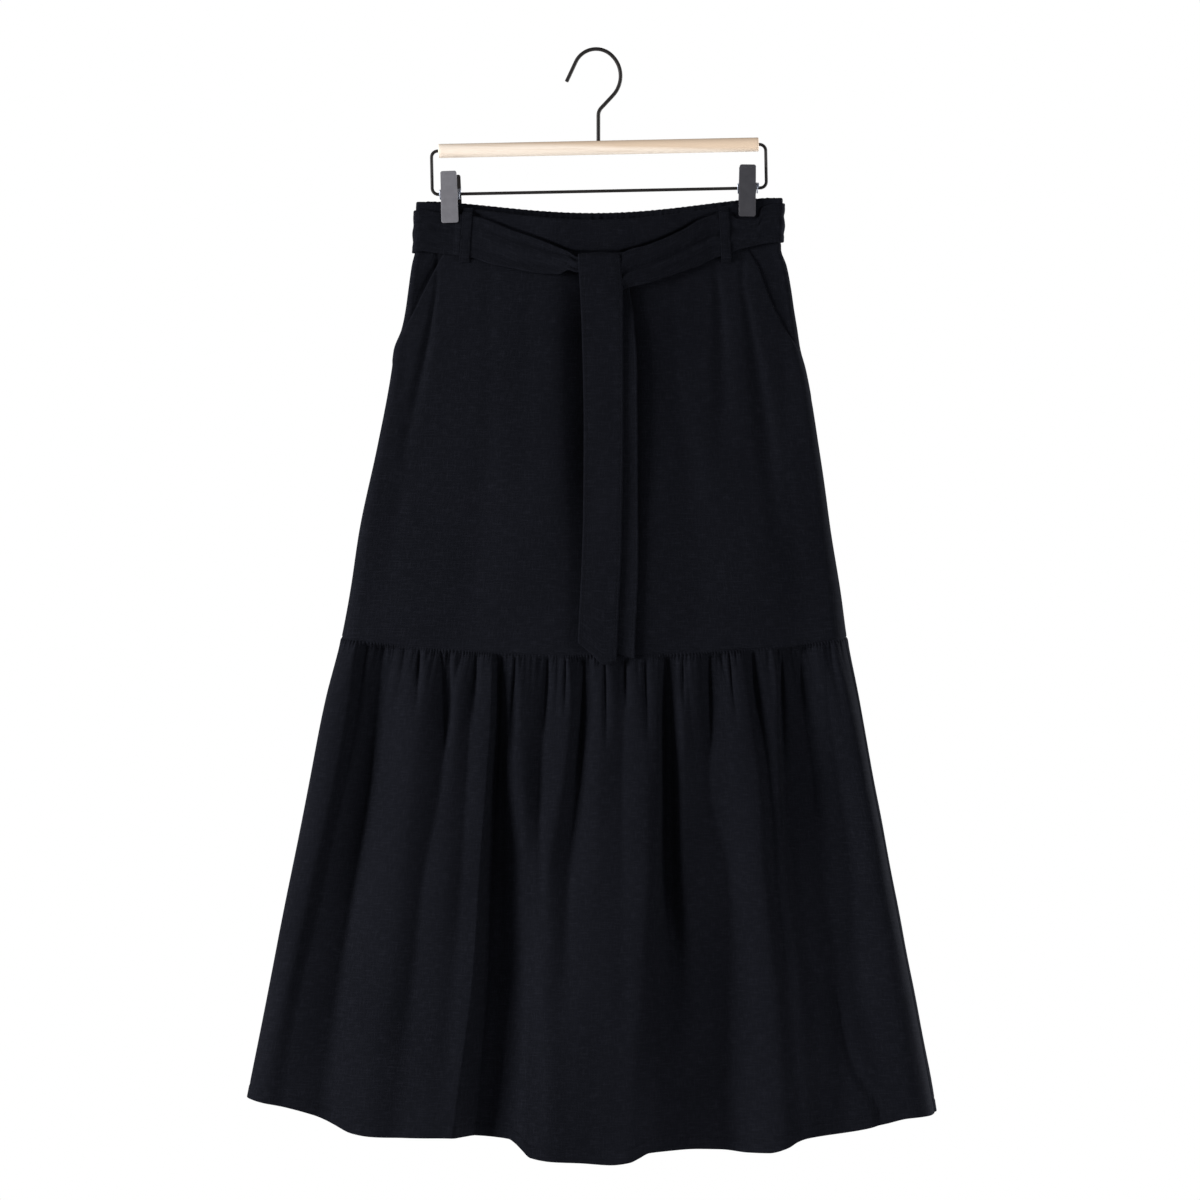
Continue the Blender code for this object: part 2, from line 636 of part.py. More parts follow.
def build_waistbands():
    """The flat front waistband and the elastic back one."""
    edge = seam_share(BAND_END_GAP)
    cloth_wall(
        "waistband_front", BAND, BAND_ROWS, fixed(edge), fixed(1.0 - edge), PLAIN_COLUMNS,
        BAND_WALL, BAND_PROUD, lambda x, drop, column: 0.0,
    )
    cloth_wall(
        "waistband_back", BAND, BAND_BACK_ROWS, fixed(1.0 + edge), fixed(2.0 - edge),
        ELASTIC_GATHERS.count * COLUMNS_PER_GATHER, BAND_WALL, BAND_PROUD,
        lambda x, drop, column: gather_relief(ELASTIC_GATHERS, column, 0.0),
    )


def build_panels():
    """The two upper panels; the front one's corners are cut back for the pockets."""
    edge = seam_share(SEAM_GAP)
    cloth_wall(
        "panel_front", PANEL, PANEL_FRONT_ROWS,
        lambda drop: mouth_around("left", drop), lambda drop: mouth_around("right", drop),
        PLAIN_COLUMNS, PANEL_WALL, 0.0,
        lambda x, drop, column: fold_relief(PANEL_FRONT_FOLDS, x, drop),
    )
    cloth_wall(
        "panel_back", PANEL, PANEL_BACK_ROWS, fixed(1.0 + edge), fixed(2.0 - edge),
        ELASTIC_GATHERS.count * COLUMNS_PER_GATHER, PANEL_WALL, 0.0,
        lambda x, drop, column: (
            gather_relief(ELASTIC_GATHERS, column, drop) + fold_relief(PANEL_BACK_FOLDS, x, drop)
        ),
    )


def build_pockets():
    """The facings that show behind the slanted mouths, from the side seam inward."""
    edge = seam_share(SEAM_GAP)
    for side, foot in FACING_FOOT.items():
        rows = tuple(row for row in PANEL_FRONT_ROWS if row.drop <= foot)
        if side == "left":
            start, stop = fixed(edge), lambda drop: mouth_around("left", drop) + FACING_UNDERLAP
        else:
            start, stop = lambda drop: mouth_around("right", drop) - FACING_UNDERLAP, fixed(1.0 - edge)
        cloth_wall(
            "pocket_facing_" + side, PANEL, rows, start, stop, FACING_COLUMNS,
            PANEL_WALL, -FACING_SET_IN,
            lambda x, drop, column: min(fold_relief(PANEL_FRONT_FOLDS, x, drop), 0.0),
        )


def build_tier():
    """The gathered tier, whose right seam lies a little way onto the front."""
    edge = seam_share(SEAM_GAP)
    columns = TIER_GATHERS.count * COLUMNS_PER_GATHER
    sides = (
        ("tier_front", edge, SIDE_SEAM_SHIFT - edge, TIER_FRONT_FOLDS),
        ("tier_back", SIDE_SEAM_SHIFT + edge, 2.0 - edge, TIER_BACK_FOLDS),
    )
    for name, start, stop, folds in sides:
        cloth_wall(
            name, TIER, TIER_ROWS, fixed(start), fixed(stop), columns, TIER_WALL, 0.0,
            lambda x, drop, column, folds=folds: (
                gather_relief(TIER_GATHERS, column, drop) + fold_relief(folds, x, drop)
            ),
        )


def refine(stations, longest):
    """The stations with others between them, so that no step of the first column is longer."""
    finer = []
    for near, far in zip(stations, stations[1:]):
        parts = max(math.ceil(abs(far[0] - near[0]) / longest), 1)
        for k in range(parts):
            finer.append(type(near)(*(mix(a, b, k / parts) for a, b in zip(near, far))))
    return [*finer, stations[-1]]


def wrap_point(around, down, out):
    """Point at an around value and a down near the waistband, a distance out."""
    zone = BAND if down <= band_foot(around) else PANEL
    drop = max((down - zone.upper(around)) / (zone.lower(around) - zone.upper(around)), 0.0)
    point = cloth(zone, around, drop, out)
    point.z = -down
    return point


def build_sash_wraps():
    """The stretches of sash that lie on the waistband at the sides and the back."""
    stretches = (("sash_side_left", WRAP_LEFT), ("sash_side_right", WRAP_RIGHT), ("sash_back", WRAP_BACK))
    for name, stations in stretches:
        rows = []
        for station in refine(stations, WRAP_STEP):
            downs = [mix(station.top, station.foot, k / SASH_COLUMNS) for k in range(SASH_COLUMNS + 1)]
            rows.append([
                (
                    wrap_point(station.around, down, station.lift + SASH_WALL),
                    wrap_point(station.around, down, station.lift),
                )
                for down in downs
            ])
        make_wall(name, rows, BLACK_CLOTH)


def build_sash_stretches():
    """The two stretches of sash that sag across the front to the knot."""
    for name, stations in (("sash_front_left", STRETCH_LEFT), ("sash_front_right", STRETCH_RIGHT)):
        rows = []
        for station in refine(stations, STRETCH_STEP):
            downs = [mix(station.top, station.foot, k / SASH_COLUMNS) for k in range(SASH_COLUMNS + 1)]
            rows.append([
                (
                    on_cloth(station.x, down, station.lift + SASH_WALL),
                    on_cloth(station.x, down, station.lift),
                )
                for down in downs
            ])
        make_wall(name, rows, BLACK_CLOTH)


def thicken(path, wall):
    """The two faces of a strap whose middle follows a path of (down, out)."""
    faces = []
    for k, (down, out) in enumerate(path):
        before, after = path[max(k - 1, 0)], path[min(k + 1, len(path) - 1)]
        along = Vector((after[0] - before[0], after[1] - before[1])).normalized()
        side = Vector((-along.y, along.x)) * wall / 2
        faces.append(((down + side.x, out + side.y), (down - side.x, out - side.y)))
    return faces


def build_tails():
    """The sash's two hanging tails; the front one starts behind the knot and folds over it."""
    for name, stations, ends, curl in (
        ("sash_tail_front", TAIL_FRONT, TAIL_FRONT_END, (0.0,) * len(TAIL_COLUMNS)),
        ("sash_tail_back", TAIL_BACK, TAIL_BACK_END, TAIL_BACK_CURL),
    ):
        path = [(s.down, s.out) for s in stations]
        rows = []
        for station, faces in zip(stations, thicken(path, SASH_WALL)):
            free = ease((station.down - stations[0].down) / (CURL_FULL_DOWN - stations[0].down))
            rows.append([
                tuple(
                    on_cloth(mix(station.left, station.right, share), down, out + bend * free)
                    for down, out in faces
                )
                for share, bend in zip(TAIL_COLUMNS, curl)
            ])
        last = stations[-1]
        rows.append([
            tuple(
                on_cloth(mix(last.left, last.right, share) - TAIL_END_SHIFT, down, last.out + bend + side)
                for side in (SASH_WALL / 2, -SASH_WALL / 2)
            )
            for share, bend, down in zip(TAIL_COLUMNS, curl, ends)
        ])
        make_wall(name, rows, BLACK_CLOTH)


def build_loops():
    """Narrow straps that hold the sash to the waistband."""
    for loop in LOOPS:
        low = BAND_PROUD + SEAM_GAP + LOOP_WALL / 2 + (0.0 if loop.ahead else ELASTIC_GATHERS.height)
        high = loop.lift + SASH_WALL + SEAM_GAP + LOOP_WALL / 2
        path = (
            (loop.top, low),
            (loop.top + LOOP_FOOT, low),
            (loop.top + LOOP_FOOT + LOOP_RAMP, high),
            (loop.foot - LOOP_FOOT - LOOP_RAMP, high),
            (loop.foot - LOOP_FOOT, low),
            (loop.foot, low),
        )
        rows = []
        for faces in thicken(path, LOOP_WALL):
            row = []
            for side in (-0.5, 0.5):
                pair = []
                for down, out in faces:
                    share = (down - loop.top) / (loop.foot - loop.top)
                    x = mix(loop.top_x, loop.foot_x, share) + side * LOOP_WIDE
                    pair.append(on_cloth(x, down, out, loop.ahead))
                row.append(tuple(pair))
            rows.append(row)
        make_wall(loop.name, rows, BLACK_CLOTH)


def arc(centre, radius, start, stop, steps):
    """Points on an arc given by x and down, with angles from +X towards up."""
    angles = [mix(start, stop, k / steps) for k in range(steps + 1)]
    return [(centre[0] + radius * math.cos(a), centre[1] - radius * math.sin(a)) for a in angles]


def make_wire(name, points, radius, finish):
    """A round wire along points of (x, down) in the plane of the hanger."""
    curve = bpy.data.curves.new(name, "CURVE")
    curve.dimensions = "3D"
    curve.bevel_depth = radius
    curve.bevel_resolution = 2
    curve.use_fill_caps = True
    spline = curve.splines.new("POLY")
    spline.points.add(len(points) - 1)
    for slot, (x, down) in zip(spline.points, points):
        slot.co = (x, 0.0, -down, 1.0)
    return keep_object(bpy.data.objects.new(name, curve), finish)


def bar_frame(along, below):
    """X and down of a point given along the tilted bar from its middle, and below its axis."""
    turn = (math.cos(BAR_TILT), math.sin(BAR_TILT))
    return (
        BAR_CENTRE.x + along * turn[0] + below * turn[1],
        -BAR_CENTRE.z - along * turn[1] + below * turn[0],
    )


def build_hook():
    """The hook: a shank up from the bar, a bend, and a round crown with a free tip."""
    belly = arc(BELLY_CENTRE, BELLY_RADIUS, BELLY_FROM, BELLY_TO, ARC_STEPS)
    crown = arc(CROWN_CENTRE, CROWN_RADIUS, CROWN_FROM, CROWN_TO, ARC_STEPS)
    foot = bar_frame(SHANK_X - BAR_CENTRE.x, -BAR_RADIUS - SEAM_GAP)[1]
    bend = Vector((SHANK_X, SHANK_BEND_DOWN))
    towards = (Vector(belly[0]) - bend).normalized()
    start = bend + Vector((0.0, HOOK_BEND_RADIUS / 2))
    finish = bend + towards * HOOK_BEND_RADIUS / 2
    corner = []
    for k in range(CORNER_STEPS + 1):
        share = k / CORNER_STEPS
        corner.append(tuple(start.lerp(bend, share).lerp(bend.lerp(finish, share), share)))
    make_wire("hanger_hook", [(SHANK_X, foot), *corner, *belly, *crown, TIP], HOOK_WIRE, DARK_WIRE)


def build_bar():
    """The round wooden bar."""
    bpy.ops.mesh.primitive_cylinder_add(
        vertices=BAR_SIDES, radius=BAR_RADIUS, depth=BAR_LENGTH, location=BAR_CENTRE,
        rotation=(0.0, math.pi / 2 - BAR_TILT, 0.0),
    )
    bar = bpy.context.object
    bar.name = "hanger_bar"
    bar.data.shade_smooth()
    bar.data.set_sharp_from_angle(angle=SHARP_EDGE)
    keep_object(bar, PALE_WOOD)


def build_frame():
    """The wire that leaves the bar's ends, turns down and runs along below it."""
    corner = FRAME_CORNER
    half = FRAME_HALF
    right = [(BAR_LENGTH / 2 + SEAM_GAP, 0.0)]
    for centre_below, start in ((corner, math.pi / 2), (FRAME_DEEP - corner, 0.0)):
        for k in range(CORNER_STEPS + 1):
            angle = start - math.pi / 2 * k / CORNER_STEPS
            right.append((
                half - corner + corner * math.cos(angle),
                centre_below - corner * math.sin(angle),
            ))
    outline = [(-along, below) for along, below in right] + right[::-1]
    make_wire("hanger_frame", [bar_frame(*point) for point in outline], FRAME_WIRE, DARK_WIRE)


def plate_slope(clip, ahead, wire_down):
    """Lean of a plate's inner face, out from the spring, that just clears the cloth it presses."""
    inner_x = clip.x - math.copysign(CLIP_WIDE / 2, clip.x)
    sash_down = clip.sash_front if ahead else clip.sash_back
    sash_lift = (SASH_LIFT if ahead else SASH_BACK_LIFT) + SASH_WALL
    band_lift = BAND_PROUD + (0.0 if ahead else ELASTIC_GATHERS.height)
    at_wire = SPRING_RADIUS + SEAM_GAP
    band_down = min(band_top(0.0), band_top(1.0))
    downs = [mix(band_down, clip.top + CLIP_TALL, k / PLATE_SAMPLES) for k in range(PLATE_SAMPLES + 1)]
    slopes = []
    for down in (*downs, min(sash_down, downs[-1])):
        lift = sash_lift if down >= sash_down else band_lift
        reach = abs(on_cloth(inner_x, down, lift, ahead).y) + SEAM_GAP
        slopes.append((reach - at_wire) / (down - wire_down))
    return max(slopes)


def build_clips():
    """Two clips, each of two plates and a spring that the lower wire runs through."""
    for clip in CLIPS:
        wire_down = bar_frame(clip.x - BAR_CENTRE.x, FRAME_DEEP)[1]
        centre_down = clip.top + CLIP_TALL / 2
        for end, ahead, sign in (("_front", True, -1.0), ("_back", False, 1.0)):
            slope = plate_slope(clip, ahead, wire_down)
            lean = math.atan(slope)
            inner = SPRING_RADIUS + SEAM_GAP + slope * (centre_down - wire_down)
            bpy.ops.mesh.primitive_cube_add(size=1.0)
            plate = bpy.context.object
            plate.name = clip.name + end
            plate.data.transform(Matrix.Diagonal((CLIP_WIDE, CLIP_THICK, CLIP_TALL, 1.0)))
            plate.location = (clip.x, sign * (inner + CLIP_THICK / 2 / math.cos(lean)), -centre_down)
            plate.rotation_euler = (sign * lean, clip.lean, 0.0)
            rounding = plate.modifiers.new("Rounded edges", "BEVEL")
            rounding.width = CLIP_ROUND
            rounding.segments = 2
            keep_object(plate, GREY_CLIP)
        build_spring(clip.name + "_spring", clip.x, wire_down)


def build_spring(name, x, down):
    """The barrel of the spring, a ring round the wire."""
    bore = FRAME_WIRE + SEAM_GAP
    half = SPRING_LENGTH / 2
    profile = [(SPRING_RADIUS, half), (SPRING_RADIUS, -half), (bore, -half), (bore, half)]
    data = bpy.data.meshes.new(name)
    data.from_pydata(
        [(radius, 0.0, height) for radius, height in profile],
        [(k, (k + 1) % len(profile)) for k in range(len(profile))],
        [],
    )
    spring = bpy.data.objects.new(name, data)
    spring.location = (x, 0.0, -down)
    spring.rotation_euler = (0.0, math.pi / 2 - BAR_TILT, 0.0)
    turn = spring.modifiers.new("Turned", "SCREW")
    turn.steps = SPRING_SIDES
    turn.render_steps = SPRING_SIDES
    turn.use_merge_vertices = True
    turn.merge_threshold = MERGE_DISTANCE
    keep_object(spring, GREY_CLIP)


def main():
    """Clear the scene and build every piece."""
    for thing in list(bpy.data.objects):
        bpy.data.objects.remove(thing)
    bpy.context.scene.collection.children.link(bpy.data.collections.new(COLLECTION_NAME))
    build_hook()
    build_bar()
    build_frame()
    build_clips()
    build_waistbands()
    build_panels()
    build_pockets()
    build_tier()
    build_sash_wraps()
    build_sash_stretches()
    build_tails()
    build_loops()


if __name__ == "__main__":
    main()
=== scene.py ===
"""The looks of a long black skirt that hangs from a wood and wire clip hanger.

Metres, +Z up. The origin is the inner top of the hook. The front of the skirt faces -Y and
+X is on the viewer's right. "Down" is the distance below the origin, so a point's Z is minus
its down. "Around" runs round the skirt: 0 is the left side edge, 0 to 1 crosses the front,
and 1 to 2 comes back behind. "Lift" is the distance out from the smooth cloth.
"""

import logging
import math
from collections.abc import Callable, Sequence
from dataclasses import dataclass
from enum import Enum

import bmesh
import bpy
import numpy as np
from mathutils import Euler, Matrix, Vector


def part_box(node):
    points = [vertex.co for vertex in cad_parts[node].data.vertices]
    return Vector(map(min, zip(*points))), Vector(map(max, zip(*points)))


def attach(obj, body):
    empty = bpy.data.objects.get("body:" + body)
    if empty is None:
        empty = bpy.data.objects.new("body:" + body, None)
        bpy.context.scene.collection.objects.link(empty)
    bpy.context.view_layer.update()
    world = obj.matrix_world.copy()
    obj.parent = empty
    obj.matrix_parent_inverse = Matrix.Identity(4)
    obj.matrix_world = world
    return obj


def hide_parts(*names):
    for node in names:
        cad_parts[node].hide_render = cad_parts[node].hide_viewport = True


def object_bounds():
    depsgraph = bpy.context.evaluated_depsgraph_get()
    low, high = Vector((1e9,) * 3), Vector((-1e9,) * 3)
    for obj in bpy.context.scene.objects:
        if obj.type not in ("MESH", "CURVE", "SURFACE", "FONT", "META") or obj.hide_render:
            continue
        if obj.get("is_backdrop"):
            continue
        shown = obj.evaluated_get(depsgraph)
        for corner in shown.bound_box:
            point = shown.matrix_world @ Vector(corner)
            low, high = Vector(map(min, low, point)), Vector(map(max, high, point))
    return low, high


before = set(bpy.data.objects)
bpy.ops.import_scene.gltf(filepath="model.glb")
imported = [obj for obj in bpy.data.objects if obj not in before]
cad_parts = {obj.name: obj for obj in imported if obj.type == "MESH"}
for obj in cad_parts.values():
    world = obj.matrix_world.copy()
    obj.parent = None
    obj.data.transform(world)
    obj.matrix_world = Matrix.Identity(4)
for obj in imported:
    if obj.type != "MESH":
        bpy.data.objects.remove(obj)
CAD_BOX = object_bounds()
UV_NAME = "cut"
MILLIMETRE = 0.001

Array = np.ndarray
Colour = tuple[float, float, float, float]
LineDown = Callable[[Array], Array]
Piece = bpy.types.Object
Rows = tuple[tuple[float, float], ...]  # a share of the way between two seams, and an offset down
Table = tuple[tuple[float, ...], ...]  # rows of numbers, the first of them the place
FoldLines = dict[str, Table]  # x and then lift of each fold line at the tier's levels

log = logging.getLogger("skirt")


class Side(Enum):
    """Which face of the skirt a piece lies on, by the around value of its middle."""

    FRONT = 0.5
    BACK = 1.5


# --- reading tables
def smooth_read(at: Array, knots: Sequence[float], values: Sequence[float]) -> Array:
    """Read a table along a smooth curve that never overshoots its own values.

    Args:
        at: Where to read.
        knots: The table's places, rising.
        values: The table's values at those places.

    Returns:
        The value at each place, held at the end values outside the table.
    """
    x, y = np.asarray(knots, float), np.asarray(values, float)
    step = np.diff(x)
    rise = np.diff(y) / step
    turns = rise[:-1] * rise[1:] <= 0.0
    before, after = np.where(turns, 1.0, rise[:-1]), np.where(turns, 1.0, rise[1:])
    first, last = 2 * step[1:] + step[:-1], step[1:] + 2 * step[:-1]
    inner = np.where(turns, 0.0, (first + last) / (first / before + last / after))
    slope = np.concatenate((rise[:1], inner, rise[-1:]))
    place = np.clip(np.asarray(at, float), x[0], x[-1])
    k = np.clip(np.searchsorted(x, place, side="right") - 1, 0, len(x) - 2)
    share = (place - x[k]) / step[k]
    square, cube = share**2, share**3
    return (
        (2 * cube - 3 * square + 1) * y[k]
        + (cube - 2 * square + share) * step[k] * slope[k]
        + (3 * square - 2 * cube) * y[k + 1]
        + (cube - square) * step[k] * slope[k + 1]
    )


def read_table(at: Array, table: Table) -> list[Array]:
    """Every column after the first, read smoothly at places in the first."""
    knots, *columns = zip(*table)
    return [smooth_read(at, knots, column) for column in columns]


def ease(value: Array) -> Array:
    """Rise smoothly from 0 to 1 as value goes from 0 to 1."""
    value = np.clip(value, 0.0, 1.0)
    return value * value * (3.0 - 2.0 * value)


def mix(first: Array, second: Array, share: Array) -> Array:
    """Value a share of the way from first to second."""
    return first + (second - first) * share


def bump(offset: Array, width: float) -> Array:
    """A soft hump of height 1 where offset is 0."""
    return np.exp(-((offset / width) ** 2))


def unit(vectors: Array) -> Array:
    """Vectors, one a row, brought to length 1."""
    return vectors / np.linalg.norm(vectors, axis=1, keepdims=True)


def run_along(steps: Array) -> Array:
    """Distance from the start after each step, with 0 for the start."""
    return np.concatenate(([0.0], np.cumsum(steps)))


# --- form of the skirt
@dataclass(frozen=True)
class Section:
    """Level sections: half widths, the turned edge, and how front and back belly out."""

    left: Array
    right: Array
    turn: Array
    front: Array
    back: Array
    keep: Array

    @property
    def length(self) -> Array:
        """Length of the cloth across one side, with the turned edges along their arcs."""
        return self.left + self.right + (math.pi - 2.0) * self.turn


# Down, and then a section's values there.
SECTIONS = (
    (0.150, 0.1786, 0.1874, 0.0032, 0.010, 0.007, 3.0),
    (0.200, 0.1800, 0.1862, 0.0045, 0.012, 0.009, 2.6),
    (0.215, 0.1834, 0.1915, 0.0060, 0.013, 0.010, 2.4),
    (0.240, 0.1872, 0.1961, 0.0066, 0.014, 0.011, 2.2),
    (0.260, 0.1900, 0.1989, 0.0070, 0.014, 0.012, 2.0),
    (0.280, 0.1940, 0.2023, 0.0075, 0.015, 0.012, 1.9),
    (0.300, 0.2015, 0.2055, 0.0080, 0.015, 0.013, 1.8),
    (0.320, 0.2041, 0.2109, 0.0085, 0.015, 0.013, 1.7),
    (0.400, 0.2187, 0.2243, 0.0100, 0.015, 0.014, 1.5),
    (0.480, 0.2354, 0.2364, 0.0120, 0.015, 0.014, 1.3),
    (0.540, 0.2448, 0.2453, 0.0140, 0.016, 0.015, 1.2),
    (0.590, 0.2546, 0.2523, 0.0160, 0.016, 0.016, 1.1),
    (0.650, 0.2694, 0.2647, 0.0180, 0.018, 0.018, 1.0),
    (0.730, 0.2848, 0.2785, 0.0200, 0.020, 0.020, 1.0),
    (0.810, 0.3001, 0.2940, 0.0220, 0.022, 0.022, 1.0),
    (0.890, 0.3154, 0.3088, 0.0240, 0.024, 0.024, 1.0),
    (0.970, 0.3315, 0.3243, 0.0260, 0.027, 0.027, 1.0),
    (1.065, 0.3510, 0.3418, 0.0280, 0.030, 0.030, 1.0),
)


def fold_back(around: Array) -> tuple[Array, Array]:
    """Whether each point is on the front, and how far across from the left edge it is."""
    turn = np.mod(around, 2.0)
    ahead = turn <= 1.0
    return ahead, np.where(ahead, turn, 2.0 - turn)


@dataclass(frozen=True)
class SeamLine:
    """A line round the skirt: its down at the side edges, and its sag between them."""

    left: float
    right: float
    front_sag: float
    back_sag: float
    keep: float

    def down(self, around: Array) -> Array:
        """How far down the line lies at each around value."""
        ahead, across = fold_back(around)
        sag = np.where(ahead, self.front_sag, self.back_sag)
        share = np.maximum(1.0 - (2.0 * across - 1.0) ** 2, 0.0) ** self.keep
        return mix(self.left, self.right, across) + sag * share


@dataclass(frozen=True)
class HemLine:
    """The hem's edge, as (share across from the left, down) for the front and the back."""

    front: Table
    back: Table

    def down(self, around: Array) -> Array:
        """How far down the hem's edge lies at each around value."""
        ahead, across = fold_back(around)
        return np.where(ahead, read_table(across, self.front)[0], read_table(across, self.back)[0])


BAND_DEEP = 0.045
BAND_TOP = SeamLine(0.1525, 0.1485, 0.018, 0.013, 2.0)
BAND_FOOT = SeamLine(0.1525 + BAND_DEEP, 0.1485 + BAND_DEEP, 0.018, 0.013, 2.0)
TIER_SEAM = SeamLine(0.5875, 0.5875, 0.018, 0.016, 1.0)
HEM = HemLine(
    front=(
        (0.000, 1.0440), (0.027, 1.0466), (0.059, 1.0507), (0.087, 1.0552), (0.114, 1.0610),
        (0.142, 1.0695), (0.169, 1.0777), (0.197, 1.0806), (0.224, 1.0813), (0.295, 1.0808),
        (0.360, 1.0823), (0.384, 1.0834), (0.393, 1.0869), (0.402, 1.0925), (0.415, 1.1004),
        (0.442, 1.1029), (0.483, 1.1040), (0.524, 1.1057), (0.551, 1.1032), (0.564, 1.0990),
        (0.578, 1.0942), (0.605, 1.0929), (0.633, 1.0922), (0.674, 1.0936), (0.714, 1.0968),
        (0.742, 1.0965), (0.769, 1.0914), (0.783, 1.0861), (0.796, 1.0831), (0.824, 1.0805),
        (0.851, 1.0783), (0.879, 1.0747), (0.906, 1.0699), (0.934, 1.0645), (0.963, 1.0624),
        (1.000, 1.0605),
    ),
    back=(
        (0.000, 1.0440), (0.060, 1.0540), (0.120, 1.0670), (0.190, 1.0795), (0.260, 1.0870),
        (0.320, 1.0845), (0.380, 1.0815), (0.450, 1.0910), (0.520, 1.0975), (0.590, 1.0920),
        (0.660, 1.0850), (0.730, 1.0865), (0.800, 1.0875), (0.900, 1.0740), (1.000, 1.0605),
    ),
)


@dataclass
class Lay:
    """Points of the smooth cloth, and which way the cloth faces at each of them."""

    x: Array
    y: Array
    out_x: Array
    out_y: Array
    down: Array
    around: Array
    run: Array  # distance along the row from the left edge
    length: Array  # the row's whole length across one side

    def points(self, lift: Array) -> Array:
        """X, Y and Z of the points, moved out by a lift."""
        flat = np.broadcast_to(lift, self.x.shape)
        return np.stack((self.x + self.out_x * flat, self.y + self.out_y * flat, -self.down), -1)

    def facing(self) -> Array:
        """The level direction away from the cloth at each point."""
        return np.stack((self.out_x, self.out_y, np.zeros_like(self.out_x)), -1)

    def from_ends(self) -> tuple[Array, Array]:
        """How far each point lies from the start and from the end of its row."""
        start, stop = self.around[:, :1], self.around[:, -1:]
        return (self.around - start) * self.length, (stop - self.around) * self.length


@dataclass(frozen=True)
class SkirtForm:
    """The smooth shape of the whole skirt, before its folds."""

    normal_step: float = 0.0008
    settle_steps: int = 5

    def lines(self, around: Array) -> list[Array]:
        """Downs of the four lines that part the skirt into band, panels and tier."""
        return [line.down(around) for line in (BAND_TOP, BAND_FOOT, TIER_SEAM, HEM)]

    def section_at(self, around: Array, down: Array) -> Section:
        """The section behind the row of cloth that passes through each point.

        Args:
            around: Where the points lie round the skirt.
            down: How far down they lie.

        Returns:
            The sections, each side edge read at the row's own height there.
        """
        here = self.lines(around)
        left, right = self.lines(np.zeros_like(around)), self.lines(np.ones_like(around))
        left_down, right_down = left[0].copy(), right[0].copy()
        for k in range(len(here) - 1):
            share = np.clip((down - here[k]) / (here[k + 1] - here[k]), 0.0, 1.0)
            left_down += share * (left[k + 1] - left[k])
            right_down += share * (right[k + 1] - right[k])
        downs, *columns = zip(*SECTIONS)
        places = [left_down, right_down] + [(left_down + right_down) / 2] * 4
        return Section(*(smooth_read(at, downs, column) for at, column in zip(places, columns)))

    def ring(self, section: Section, around: Array) -> tuple[Array, Array]:
        """Find points on a level ring.

        Args:
            section: The section at each point.
            around: Where the points lie round it.

        Returns:
            Their X and Y.
        """
        ahead, across = fold_back(around)
        length, turn = section.length, section.turn
        run = across * length
        near = np.minimum(run, length - run)
        corner = turn * math.pi / 2
        angle = np.minimum(near, corner) / turn
        inset = turn * (1.0 - np.cos(angle)) + np.maximum(near - corner, 0.0)
        x = np.where(run < length / 2, -section.left + inset, section.right - inset)
        share = (x + section.left) / (section.left + section.right)
        middle = np.maximum(1.0 - (2.0 * share - 1.0) ** 2, 0.0) ** section.keep
        depth = turn * np.sin(angle) + np.where(ahead, section.front, section.back) * middle
        return x, np.where(ahead, -depth, depth)

    def lay(self, around: Array, down: Array) -> Lay:
        """Lay points on the smooth cloth.

        Args:
            around: Where the points lie round the skirt.
            down: How far down they lie, of the same shape.

        Returns:
            The points and the way the cloth faces there.
        """
        section = self.section_at(around, down)
        x, y = self.ring(section, around)
        before = self.ring(section, around - self.normal_step)
        after = self.ring(section, around + self.normal_step)
        along_x, along_y = after[0] - before[0], after[1] - before[1]
        size = np.hypot(along_x, along_y)
        length = section.length
        run = fold_back(around)[1] * length
        return Lay(x, y, along_y / size, -along_x / size, down, around, run, length)

    def around_at(self, x: Array, down: Array, side: Side = Side.FRONT) -> Array:
        """The around value of the cloth at each x and down on one side."""
        around = np.full(np.shape(x), side.value)
        for _ in range(self.settle_steps):
            section = self.section_at(around, down)
            length, turn = section.length, section.turn
            from_left = x < (section.right - section.left) / 2
            inset = np.maximum(np.where(from_left, x + section.left, section.right - x), 0.0)
            rounded = turn * np.arccos(np.clip(1.0 - inset / turn, -1.0, 1.0))
            run = np.where(inset < turn, rounded, inset + turn * (math.pi / 2 - 1.0))
            across = np.where(from_left, run / length, 1.0 - run / length)
            around = across if side is Side.FRONT else 2.0 - across
        return around

    def lay_at(self, x: Array, down: Array, side: Side = Side.FRONT) -> Lay:
        """Lay points on the smooth cloth by x and down."""
        return self.lay(self.around_at(x, down, side), down)


FORM = SkirtForm()


# --- folds of cloth
@dataclass(frozen=True)
class Crease:
    """A soft trough that wanders down the cloth, or a ridge where its depth is minus."""

    knots: Table  # down, x, half widths to the left and right, depth inward
    sharp: float = 1.6

    def lift(self, lay: Lay) -> Array:
        """How far the crease moves the cloth out at each point."""
        centre, left, right, depth = read_table(lay.down, self.knots)
        offset = np.abs(lay.x - centre) / np.where(lay.x < centre, left, right)
        return -depth * np.exp(-(offset**self.sharp))


# Share of the fall, share of the width and share of the depth.
FALL = (
    (0.00, 0.30, 0.30),
    (0.15, 0.42, 0.70),
    (0.35, 0.65, 1.00),
    (0.60, 0.90, 0.90),
    (0.80, 1.00, 0.60),
    (1.00, 1.10, 0.00),
)


